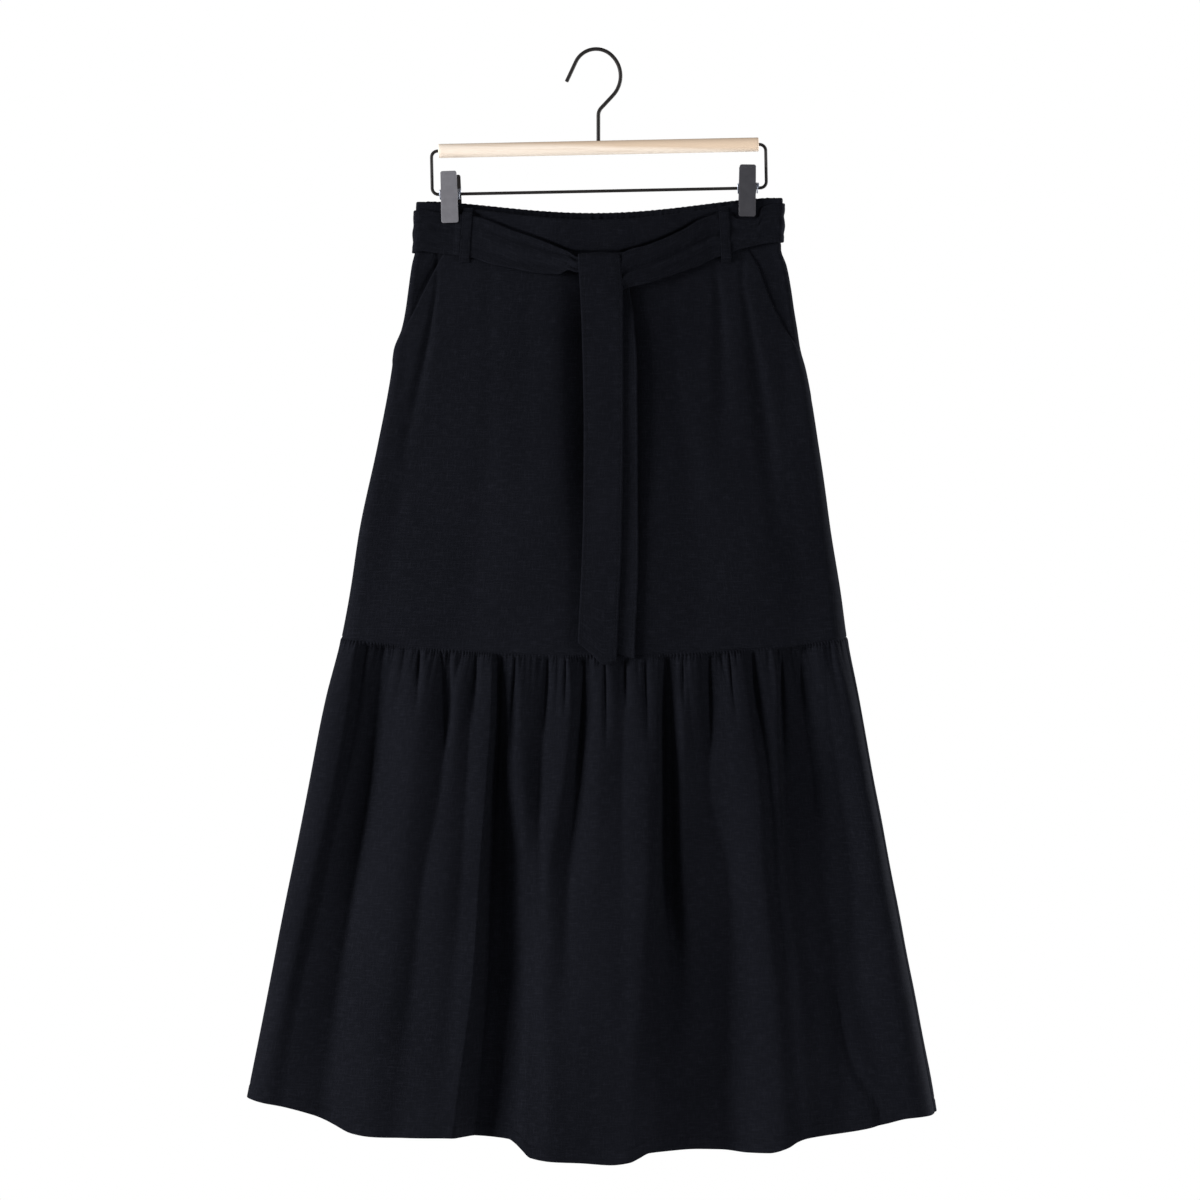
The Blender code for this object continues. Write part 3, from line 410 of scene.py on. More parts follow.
def falling(
    top: float, x: float, foot: float, foot_x: float, width: float, depth: float,
    sway: float = 0.0, sharp: float = 1.6,
) -> Crease:
    """A crease that starts fine at its top, widens as it falls and dies out at its foot.

    Args:
        top: How far down it starts.
        x: Where it starts.
        foot: How far down it ends; past the hem it runs right through.
        foot_x: Where it ends.
        width: Its half width at its widest.
        depth: Its greatest depth, or minus its height for a ridge.
        sway: How far it bows sideways on the way.
        sharp: How pointed its bottom is; 2 is round.

    Returns:
        The crease.
    """
    knots = []
    for share, wide, deep in FALL:
        centre = mix(x, foot_x, share) + sway * math.sin(math.pi * share * 1.5)
        knots.append((mix(top, foot, share), centre, width * wide, width * wide, depth * deep))
    return Crease(tuple(knots), sharp)


FOLD_LEVELS = (0.595, 0.649, 0.728, 0.826, 0.925, 1.024, 1.093)
FOLD_SOFT = (0.6, 1.0, 1.6, 2.4, 4.0, 6.0, 7.0)  # how far fold lines are rounded there
FOLD_FALLS = (0.0, 0.11, 0.27, 0.46, 0.66, 0.86, 1.0)
FOLD_OPENED = (0.25, 0.60, 0.95, 1.00, 0.95, 0.85, 0.75)
FOLD_KEPT = (1.0, 1.0, 1.0, 0.9, 0.8, 0.7, 0.7)


@dataclass(frozen=True)
class Drapery:
    """Hanging folds, by their valleys and crests from left to right, in millimetres."""

    lines: FoldLines
    valley: float = 1.7  # how pointed the valleys are between the round crests; 1 is straight

    def lift(self, lay: Lay) -> Array:
        """How far the folds move the cloth out at each point."""
        reach = smooth_read(lay.down, FOLD_LEVELS, FOLD_SOFT) * MILLIMETRE
        shifts = (-1.0, -0.5, 0.0, 0.5, 1.0)
        return sum(self.sharp_lift(lay, lay.x + reach * shift) for shift in shifts) / len(shifts)

    def sharp_lift(self, lay: Lay, place: Array) -> Array:
        """How far the folds stand out at each x before their lines are rounded."""
        lines = [
            [smooth_read(lay.down, FOLD_LEVELS, values) * MILLIMETRE for values in line]
            for line in self.lines.values()
        ]
        total = np.zeros_like(lay.x) + lines[0][1]
        for (before_x, before_out), (x, out) in zip(lines, lines[1:]):
            share = np.clip((place - before_x) / (x - before_x), 0.0, 1.0)
            rising = 1.0 - (1.0 - share) ** self.valley
            total += (out - before_out) * np.where(out > before_out, rising, share**self.valley)
        return total


def uneven_folds(
    seed: int, count: int, top: tuple[float, float], foot: tuple[float, float], deep: float
) -> FoldLines:
    """Valleys and crests by turns, uneven in place and depth, that spread from a seam to a hem.

    Args:
        seed: Picks one of the possible lays.
        count: How many lines there are.
        top: The x of the first and the last line at the seam, in millimetres.
        foot: The same at the hem.
        deep: How far the deepest valley lies back, in millimetres.

    Returns:
        The fold lines at the tier's levels.
    """
    dice = np.random.default_rng(seed)
    steps = dice.uniform(0.6, 1.4, count - 1)
    lines = {}
    for k, place in enumerate(run_along(steps) / steps.sum()):
        inner = 0.0 if k in (0, count - 1) else 1.0
        strength = dice.uniform(0.25, 1.0) * inner
        lean = dice.uniform(-0.012, 0.012) * inner
        fade = dice.uniform(0.3, 1.0)
        height = -deep if k % 2 else 0.45 * deep
        x, out = [], []
        for fall, opened, kept in zip(FOLD_FALLS, FOLD_OPENED, FOLD_KEPT):
            share = place + lean * fall
            x.append(mix(mix(*top, share), mix(*foot, share), fall))
            out.append(height * opened * mix(strength, strength * fade * kept, fall))
        lines[f"fold_{k}"] = (tuple(x), tuple(out))
    return lines


@dataclass(frozen=True)
class Gathering:
    """Fine uneven gathers that hang from a seam and die out below it."""

    seed: int
    count: int
    height: float
    width: float
    reach: float
    spread: float = 0.035
    drift: float = 0.006

    def lift(self, lay: Lay, fall: Array) -> Array:
        """How far the gathers move the cloth out, by how far each point lies below the seam."""
        dice = np.random.default_rng(self.seed)
        share, below = lay.run / lay.length, np.maximum(fall, 0.0)
        total = np.zeros_like(share)
        for k in range(self.count):
            place = (k + dice.uniform(0.15, 0.85)) / self.count
            deep = self.height * dice.uniform(0.35, 1.25)
            reach = self.reach * math.exp(dice.normal(0.0, 0.45))
            wide = self.width * dice.uniform(0.75, 1.45)
            drift = dice.uniform(-self.drift, self.drift)
            offset = (share - place - drift * below / self.reach) * lay.length
            offset = np.abs(offset) / (wide * (1.0 + below / self.spread))
            total += deep * np.exp(-(offset**1.5)) * np.exp(-((below / reach) ** 1.5))
        return self.height * 0.35 * np.exp(-below / self.reach) - total


@dataclass(frozen=True)
class Puckers:
    """The very fine, close pleats that a gathering thread leaves right at a seam."""

    pitch: float
    height: float
    reach: float
    wander: float = 2.2
    waves: tuple[float, ...] = (17.0, 41.0, 73.0)

    def lift(self, lay: Lay, fall: Array) -> Array:
        """How far the puckers move the cloth out at each point."""
        share = lay.run / lay.length
        uneven = sum(np.sin(w * share + 1.7 * w) for w in self.waves) / len(self.waves)
        phase = math.tau * share * lay.length.max() / self.pitch + self.wander * uneven * math.pi
        strength = 0.65 + 0.35 * np.sin(29.0 * share + 2.0 * uneven)
        return self.height * strength * np.cos(phase) * bump(fall, self.reach)


@dataclass(frozen=True)
class Rumple:
    """The slight unevenness of cloth that has been worn and washed."""

    seed: int
    height: float
    shortest: float = 0.045
    longest: float = 0.150
    count: int = 10
    upright: float = 2.2

    def lift(self, lay: Lay) -> Array:
        """How far the cloth wavers in and out at each point."""
        dice = np.random.default_rng(self.seed)
        total = np.zeros_like(lay.run)
        for _ in range(self.count):
            length = dice.uniform(self.shortest, self.longest)
            along = math.tau / length
            down = math.tau / (length * dice.uniform(1.0, 2.0) * self.upright)
            sign = dice.choice((-1.0, 1.0))
            phase = dice.uniform(0.0, math.tau)
            total += np.sin(along * lay.run + sign * down * lay.down + phase)
        return self.height * total / math.sqrt(self.count)


def turned_in(distance: Array, depth: float, reach: float) -> Array:
    """How far cloth turns in near a seam: the whole depth where distance is 0 or less."""
    return -depth * (1.0 - ease(distance / reach))


def side_groove(lay: Lay, depth: float, reach: float) -> Array:
    """How far the cloth turns in towards the seams at both ends of its rows."""
    return -depth * sum(bump(distance, reach) for distance in lay.from_ends())


# --- finishes
class ShaderBench:
    """Adds and joins the nodes of one material."""

    def __init__(self, name: str) -> None:
        """Start a material with its shader."""
        self.material = bpy.data.materials.new(name)
        self.material.use_nodes = True
        self.tree = self.material.node_tree

    def add(self, kind: str, sockets: dict, **settings: object) -> bpy.types.Node:
        """Add a node.

        Args:
            kind: The node's type name without "ShaderNode".
            sockets: Input name or number, with a value or the socket to join it to.
            **settings: The node's own properties.

        Returns:
            The new node.
        """
        node = self.tree.nodes.new("ShaderNode" + kind)
        for name, value in settings.items():
            setattr(node, name, value)
        self.feed(node, sockets)
        return node

    def feed(self, node: bpy.types.Node, sockets: dict) -> None:
        """Join a node's inputs to other sockets, or give them values."""
        for name, value in sockets.items():
            if isinstance(value, bpy.types.NodeSocket):
                self.tree.links.new(value, node.inputs[name])
            else:
                node.inputs[name].default_value = value

    def place(self) -> object:
        """The piece's own coordinates."""
        return self.add("TexCoord", {}).outputs["Object"]

    def math(self, operation: str, first: object, second: object) -> object:
        """The result of a sum on two values or sockets."""
        return self.add("Math", {0: first, 1: second}, operation=operation).outputs[0]

    def total(self, *terms: tuple[object, float]) -> object:
        """The sum of patterns, each times its weight."""
        result = None
        for pattern, weight in terms:
            part = pattern if weight == 1.0 else self.math("MULTIPLY", pattern, weight)
            result = part if result is None else self.math("ADD", result, part)
        return result

    def noise(self, where: object, scale: object, detail: float = 3.0, rough: float = 0.5) -> object:
        """A noise pattern from 0 to 1, whose scale may be one to each axis."""
        if isinstance(scale, tuple):
            where = self.add("Mapping", {"Vector": where, "Scale": scale}).outputs[0]
            scale = 1.0
        sockets = {"Vector": where, "Scale": scale, "Detail": detail, "Roughness": rough}
        return self.add("TexNoise", sockets).outputs[0]

    def waves(self, where: object, scale: float, way: str, swirl: float = 0.0) -> object:
        """A pattern of even waves along an axis or a diagonal."""
        sockets = {"Vector": where, "Scale": scale, "Distortion": swirl}
        return self.add("TexWave", sockets, bands_direction=way).outputs[1]

    def range(self, value: object, low: float, high: float, to_low: float, to_high: float) -> object:
        """A value carried from one range to another and held inside it."""
        sockets = {"Value": value, 1: low, 2: high, 3: to_low, 4: to_high}
        return self.add("MapRange", sockets).outputs[0]

    def blend(self, share: object, first: object, second: object) -> object:
        """A colour between two others."""
        return self.add("Mix", {0: share, 6: first, 7: second}, data_type="RGBA").outputs[2]

    def relief(self, height: object, strength: float, distance: float) -> object:
        """A surface direction roughened by a height pattern."""
        sockets = {"Height": height, "Strength": strength, "Distance": distance}
        return self.add("Bump", sockets).outputs[0]

    def finish(self, **sockets: object) -> bpy.types.Material:
        """Feed the shader's own sockets, named with underscores for spaces, and close the bench."""
        shader = self.tree.nodes["Principled BSDF"]
        self.feed(shader, {name.replace("_", " "): value for name, value in sockets.items()})
        return self.material


def colour(red: float, green: float, blue: float) -> Colour:
    """An opaque colour."""
    return (red, green, blue, 1.0)


@dataclass(frozen=True)
class ClothFinish:
    """Matt black slubby cloth, woven plain, like washed linen or viscose."""

    name: str = "black_slub_cloth"
    dark: Colour = colour(0.0021, 0.0024, 0.0037)
    light: Colour = colour(0.0074, 0.0079, 0.0112)
    thread_pitch: float = 0.00052
    weave_height: float = 0.00016
    roughness: float = 0.92
    specular: float = 0.025
    sheen: float = 0.006

    def material(self) -> bpy.types.Material:
        """Build the weave, its thicker threads, its faded patches and its faint sheen."""
        bench = ShaderBench(self.name)
        cut = bench.add("UVMap", {}, uv_map=UV_NAME).outputs[0]
        sway = bench.add("TexNoise", {"Vector": cut, "Scale": 90.0, "Detail": 1.0}).outputs[1]
        sway = bench.add("VectorMath", {0: sway, "Scale": 0.0012}, operation="SCALE").outputs[0]
        threads = bench.add("VectorMath", {0: cut, 1: sway}, operation="ADD").outputs[0]
        bands = 0.314159 / self.thread_pitch / 2
        warp, weft = (bench.math("SUBTRACT", bench.waves(threads, bands, way), 0.5) for way in "XY")
        over = bench.math("MULTIPLY", warp, weft)
        down_slubs = bench.noise(threads, (950.0, 90.0, 1.0), 2.0)
        cross_slubs = bench.noise(threads, (75.0, 900.0, 1.0), 2.0)
        slubs = bench.math(
            "ADD",
            bench.range(down_slubs, 0.50, 0.72, 0.0, 0.9),
            bench.range(cross_slubs, 0.50, 0.70, 0.0, 1.0),
        )
        fuzz = bench.noise(threads, (900.0, 900.0, 1.0))
        faded = bench.range(bench.noise(cut, (9.0, 5.0, 1.0)), 0.3, 0.7, 0.0, 0.22)
        tone = bench.total((slubs, 0.44), (bench.range(fuzz, 0.32, 0.68, 0.0, 0.46), 1.0), (faded, 1.0))
        height = bench.total((over, 2.0), (slubs, 0.55), (fuzz, 0.5))
        return bench.finish(
            Base_Color=bench.blend(tone, self.dark, self.light),
            Roughness=bench.range(fuzz, 0.3, 0.7, self.roughness - 0.06, self.roughness + 0.04),
            Specular_IOR_Level=self.specular,
            Sheen_Weight=self.sheen,
            Sheen_Roughness=0.45,
            Sheen_Tint=colour(0.62, 0.66, 0.80),
            Normal=bench.relief(height, 0.45, self.weave_height),
        )


@dataclass(frozen=True)
class ThreadFinish:
    """Black sewing thread, a touch smoother than the cloth, with a twist along it."""

    name: str = "black_sewing_thread"
    dark: Colour = colour(0.0022, 0.0024, 0.0036)
    light: Colour = colour(0.0060, 0.0063, 0.0088)

    def material(self) -> bpy.types.Material:
        """Build the thread's ply and its soft shine."""
        bench = ShaderBench(self.name)
        place = bench.place()
        ply = bench.waves(place, 700.0, "DIAGONAL", 1.5)
        return bench.finish(
            Base_Color=bench.blend(bench.noise(place, 5200.0, 2.0), self.dark, self.light),
            Roughness=0.70,
            Specular_IOR_Level=0.05,
            Normal=bench.relief(ply, 0.4, 0.00008),
        )


BAR_CENTRE = (0.0033, 0.0, -0.09825)
BAR_TILT = math.radians(1.17)


@dataclass(frozen=True)
class WoodFinish:
    """Pale sanded wood with a clear satin coat; a tanner band painted along its top stands for shade, broken
    up by the wood's figure.
    """

    name: str = "pale_turned_wood"
    pale: Colour = colour(0.785, 0.682, 0.582)
    # painted shade: the colour of the bar's top, where less light falls
    tan: Colour = colour(0.640, 0.495, 0.368)
    streak: Colour = colour(0.520, 0.385, 0.270)

    def material(self) -> bpy.types.Material:
        """Build the grain along the bar, its pores, its coat and the shade painted along its top."""
        bench = ShaderBench(self.name)
        place = {"Vector": bench.place(), "Location": BAR_CENTRE, "Rotation": (0.0, BAR_TILT, 0.0)}
        turned = bench.add("Mapping", place, vector_type="TEXTURE").outputs[0]
        grain = bench.noise(turned, (9.0, 420.0, 420.0), 5.0, 0.6)
        figure = bench.noise(turned, (5.0, 130.0, 130.0))
        pores = bench.noise(turned, (60.0, 2600.0, 2600.0), 2.0)
        height = bench.add("SeparateXYZ", {0: turned}).outputs[2]
        # painted shade along the top: by height on the bar, broken up by the figure, the wood turns towards
        # tan
        band = bench.range(bench.total((height, 120.0), (figure, 0.9)), 0.25, 0.80, 0.0, 1.0)
        body = bench.blend(band, self.pale, self.tan)
        body = bench.blend(bench.range(grain, 0.52, 0.78, 0.0, 0.55), body, self.streak)
        body = bench.blend(bench.range(pores, 0.62, 0.75, 0.0, 0.30), body, self.streak)
        return bench.finish(
            Base_Color=body,
            Roughness=bench.range(grain, 0.3, 0.7, 0.42, 0.58),
            Specular_IOR_Level=0.35,
            Coat_Weight=0.12,
            Coat_Roughness=0.30,
            Normal=bench.relief(bench.total((grain, 1.0), (pores, 0.5)), 0.25, 0.00012),
        )


@dataclass(frozen=True)
class WireFinish:
    """Steel wire with a dark brown satin coat, rubbed a little lighter in places."""

    name: str = "dark_satin_wire"
    coat: Colour = colour(0.0125, 0.0108, 0.0105)
    rubbed: Colour = colour(0.034, 0.027, 0.024)

    def material(self) -> bpy.types.Material:
        """Build the coat, its rubbed spots and its drawn scratches."""
        bench = ShaderBench(self.name)
        place = bench.place()
        wear = bench.range(bench.noise(place, 160.0, 5.0, 0.65), 0.58, 0.80, 0.0, 0.6)
        scratches = bench.noise(place, (900.0, 4000.0, 900.0))
        return bench.finish(
            Base_Color=bench.blend(wear, self.coat, self.rubbed),
            Metallic=0.10,
            Roughness=bench.range(scratches, 0.25, 0.75, 0.48, 0.62),
            Specular_IOR_Level=0.18,
            Normal=bench.relief(scratches, 0.08, 0.00003),
        )


@dataclass(frozen=True)
class ClipFinish:
    """Pressed steel with a grey satin plating and a fine upright grain."""

    name: str
    plate: Colour
    worn: Colour
    roughness: float
    pitted: Colour = colour(0.03, 0.03, 0.032)

    def material(self) -> bpy.types.Material:
        """Build the plating's grain, its cloudy patches and its wear."""
        bench = ShaderBench(self.name)
        place = bench.place()
        grain = bench.noise(place, (3200.0, 3200.0, 160.0))
        clouds = bench.range(bench.noise(place, 130.0, 4.0, 0.6), 0.35, 0.70, 0.0, 0.8)
        specks = bench.noise(place, 1500.0, 2.0)
        shade = bench.blend(clouds, self.plate, self.worn)
        shade = bench.blend(bench.range(specks, 0.66, 0.76, 0.0, 0.5), shade, self.pitted)
        return bench.finish(
            Base_Color=shade,
            Metallic=0.30,
            Specular_IOR_Level=0.35,
            Roughness=bench.range(grain, 0.2, 0.8, self.roughness - 0.08, self.roughness + 0.08),
            Normal=bench.relief(bench.total((grain, 1.0), (specks, 0.4)), 0.22, 0.00008),
        )


@dataclass(frozen=True)
class FloorFinish:
    """Pale, even studio floor."""

    name: str = "pale_floor"
    pale: Colour = colour(0.80, 0.80, 0.79)
    paler: Colour = colour(0.84, 0.84, 0.83)

    def material(self) -> bpy.types.Material:
        """Build the floor's faint clouding."""
        bench = ShaderBench(self.name)
        clouds = bench.noise(bench.place(), 1.5, 4.0)
        return bench.finish(Base_Color=bench.blend(clouds, self.pale, self.paler), Roughness=0.85)


class Stuff(Enum):
    """What a piece is made of: the record's material slot, and the finish."""

    CLOTH = ("cloth", ClothFinish())
    THREAD = ("cloth", ThreadFinish())
    WOOD = ("wood", WoodFinish())
    WIRE = ("wire", WireFinish())
    # Painted shade: the left clip's back plate wears the wire's dark coat because it lies in the front
    # plate's shadow.
    CLIP_BACK_IN_PAINTED_SHADE = ("clip", WireFinish())
    # Lit and shaded copies of one grey plating: the lighter is painted light, the darker painted shade, for
    # how each clip's plates lean to the light.
    CLIP_PAINTED_LIT = (
        "clip",
        ClipFinish("grey_plating_painted_lit", colour(0.172, 0.169, 0.186), colour(0.138, 0.136, 0.151), 0.52),
    )
    CLIP_PAINTED_SHADED = (
        "clip",
        ClipFinish("grey_plating_painted_shaded", colour(0.047, 0.0465, 0.0535), colour(0.036, 0.0355, 0.0415), 0.50),
    )
    SPRING = (
        "clip",
        ClipFinish("bluish_spring_steel", colour(0.330, 0.360, 0.430), colour(0.200, 0.220, 0.270), 0.30),
    )
    FLOOR = ("", FloorFinish())

    def material(self) -> bpy.types.Material:
        """The finish's material, which is built once and shared."""
        finish = self.value[1]
        return bpy.data.materials.get(finish.name) or finish.material()


# --- making meshes
def file_piece(piece: Piece, stuff: Stuff, *nodes: str) -> Piece:
    """Give a finished piece its material, its body and the CAD nodes it stands for.

    Args:
        piece: The finished mesh object, with its place in its mesh.
        stuff: What it is made of.
        *nodes: The CAD nodes that it replaces.

    Returns:
        The same piece.
    """
    piece.data.materials.clear()
    piece.data.materials.append(stuff.material())
    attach(piece, "root")
    if nodes:
        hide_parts(*nodes)
    log.info("%s: %d faces, stands for %s", piece.name, len(piece.data.polygons), nodes or "sewing")
    return piece


def mesh_piece(name: str, points: Array, faces: list, cut: Array | None = None) -> Piece:
    """Make a smooth mesh object from points and faces.

    Args:
        name: The piece's name.
        points: The points, one a row.
        faces: Lists of point numbers.
        cut: Where each point lies on the cut cloth, in metres, for the weave.

    Returns:
        The new object, linked to the scene.
    """
    data = bpy.data.meshes.new(name)
    data.from_pydata(points.tolist(), [], faces)
    data.shade_smooth()
    if cut is not None:
        corners = np.empty(len(data.loops), dtype=np.int32)
        data.loops.foreach_get("vertex_index", corners)
        data.uv_layers.new(name=UV_NAME).data.foreach_set("uv", cut[corners].ravel())
    piece = bpy.data.objects.new(name, data)
    bpy.context.scene.collection.objects.link(piece)
    return piece


def quads(numbers: Array) -> list:
    """Faces between the neighbours of a grid of point numbers, its first row at the top."""
    corners = (numbers[:-1, :-1], numbers[1:, :-1], numbers[1:, 1:], numbers[:-1, 1:])
    return np.stack(corners, -1).reshape(-1, 4).tolist()


def sew_shell(name: str, node: str, outer: Array, inner: Array, cut: Array, step: int = 1) -> Piece:
    """Make a closed thin shell of cloth between an outer grid of points and an inner one.

    Args:
        name: The piece's name.
        node: The CAD node it stands for.
        outer: The outer face's points.
        inner: The inner face's, which may have fewer columns.
        cut: Where each outer point lies on the cut cloth.
        step: How many outer columns one inner column takes.

    Returns:
        The finished piece.
    """
    rows, columns = outer.shape[:2]
    inner_columns = inner.shape[1]
    out = np.arange(rows * columns).reshape(rows, columns)
    back = rows * columns + np.arange(rows * inner_columns).reshape(rows, inner_columns)
    faces = quads(out) + quads(back[:, ::-1])
    for near, far in ((out[0], back[0]), (out[-1, ::-1], back[-1, ::-1])):
        for k in range(inner_columns - 1):
            faces.append([*near[k * step : (k + 1) * step + 1].tolist(), int(far[k + 1]), int(far[k])])
    faces += np.stack((out[1:, 0], out[:-1, 0], back[:-1, 0], back[1:, 0]), -1).tolist()
    faces += np.stack((out[:-1, -1], out[1:, -1], back[1:, -1], back[:-1, -1]), -1).tolist()
    points = np.concatenate((outer.reshape(-1, 3), inner.reshape(-1, 3)))
    cut = np.concatenate((cut.reshape(-1, 2), cut[:, ::step].reshape(-1, 2)))
    return file_piece(mesh_piece(name, points, faces, cut), Stuff.CLOTH, node)


def cloth_shell(
    name: str, node: str, lay: Lay, lift: Array, wall: float | Array, cut_width: float, edge: float = 0.35
) -> Piece:
    """Make a shell of cloth whose outer face is lifted off the smooth cloth.

    Args:
        name: The piece's name.
        node: The CAD node it stands for.
        lay: The grid of points on the smooth cloth.
        lift: How far out the outer face lies.
        wall: The cloth's thickness.
        cut_width: Width of the cut cloth across one side, which sets the weave's scale.
        edge: Thickness at the very edges, as a share of the wall.

    Returns:
        The finished piece.
    """
    wall = np.broadcast_to(wall, lay.x.shape).copy()
    trim = np.zeros_like(wall)
    for border in (np.s_[0, :], np.s_[-1, :], np.s_[:, 0], np.s_[:, -1]):
        trim[border] = wall[border] * (1.0 - edge) / 2
    step = 2
    inner = lay.points(lift - wall + trim)[:, ::step]
    cut = np.stack((fold_back(lay.around)[1] * cut_width, lay.down), -1)
    return sew_shell(name, node, lay.points(lift - trim), inner, cut, step)


def even_rows(start: float, stop: float, count: int) -> Rows:
    """Evenly spaced rows between two shares, both included."""
    return tuple((float(share), 0.0) for share in np.linspace(start, stop, count))


def rows_at(share: float, *offsets: float) -> Rows:
    """Rows at offsets down from one share of the way."""
    return tuple((share, offset) for offset in offsets)


def lay_rows(
    rows: Rows, upper: LineDown, lower: LineDown, start: float | Array, stop: float | Array, columns: int
) -> Lay:
    """Lay a grid of points on the smooth cloth.

    Args:
        rows: The rows, from the top.
        upper: The line from which shares are counted.
        lower: The line to which they are counted.
        start: The around value at which each row starts.
        stop: The around value at which it ends.
        columns: How many columns each row has.

    Returns:
        The laid grid.
    """
    shares, offsets = np.array(rows).T[:, :, None]
    ends = (np.broadcast_to(end, (len(rows),))[:, None] for end in (start, stop))
    around = mix(*ends, np.linspace(0.0, 1.0, columns + 1)[None, :])
    return FORM.lay(around, mix(upper(around), lower(around), shares) + offsets)


# --- sewing
@dataclass(frozen=True)
class Stitching:
    """A row of short raised stitches of thread along a line on the cloth."""

    stitch: float = 0.0026
    pitch: float = 0.0034
    radius: float = 0.00020
    sides: int = 5
    # share of the stitch, share of the radius, and rise off the cloth in radii
    rings: Table = ((0.0, 0.45, -0.9), (0.5, 1.0, 0.35), (1.0, 0.45, -0.9))

    def sew(self, where: str, lines: Sequence[tuple[Array, Array]]) -> Piece:
        """Sew along lines.

        Args:
            where: What is sewn: a hem, or the name of a piece of cloth.
            lines: Points on the cloth's face with the directions away from it, for each line.

        Returns:
            One piece with every stitch.
        """
        points, faces, base = [], [], 0
        pattern = self.faces_of_one()
        for line, away in lines:
            run = run_along(np.linalg.norm(np.diff(line, axis=0), axis=1))
            count = int(run[-1] / self.pitch)
            starts = np.arange(count) * self.pitch + (run[-1] - count * self.pitch) / 2
            first, last = self.at(run, line, starts), self.at(run, line, starts + self.stitch)
            out = unit(self.at(run, away, starts + self.stitch / 2))
            aside = np.cross(unit(last - first), out)
            for share, size, rise in self.rings:
                middle = first + (last - first) * share + out * rise * self.radius
                for k in range(self.sides):
                    angle = math.tau * k / self.sides
                    offset = aside * math.cos(angle) + out * math.sin(angle)
                    points.append(middle + offset * self.radius * size)
            for k in range(count):
                faces += [[base + corner * count + k for corner in face] for face in pattern]
            base += len(self.rings) * self.sides * count
        name = where.removesuffix("_cloth") + "_sewing"
        return file_piece(mesh_piece(name, np.concatenate(points), faces), Stuff.THREAD)

    def faces_of_one(self) -> list:
        """The faces of one stitch, by the numbers of its points."""
        numbers = np.arange(len(self.rings) * self.sides).reshape(-1, self.sides)
        faces = [numbers[0].tolist()]
        for near, far in zip(numbers, numbers[1:]):
            for k in range(self.sides):
                after = (k + 1) % self.sides
                faces.append([int(near[after]), int(near[k]), int(far[k]), int(far[after])])
        return faces + [numbers[-1][::-1].tolist()]

    @staticmethod
    def at(run: Array, values: Array, where: Array) -> Array:
        """Values along a line at given distances from its start."""
        return np.stack([np.interp(where, run, values[:, k]) for k in range(3)], -1)


STITCHING = Stitching()


# --- waistband
# Down and x of the line along which the tied sash presses into the front band.
SASH_UPPER_EDGE = (
    (0.1645, -0.1286), (0.1658, -0.1195), (0.1704, -0.1052), (0.1789, -0.0852), (0.1899, -0.0552),
    (0.1984, -0.0352), (0.2024, -0.0262), (0.2043, -0.0168), (0.2043, 0.0246), (0.2036, 0.0275),
    (0.1949, 0.0548), (0.1816, 0.0848), (0.1699, 0.1048), (0.1644, 0.1205),
)


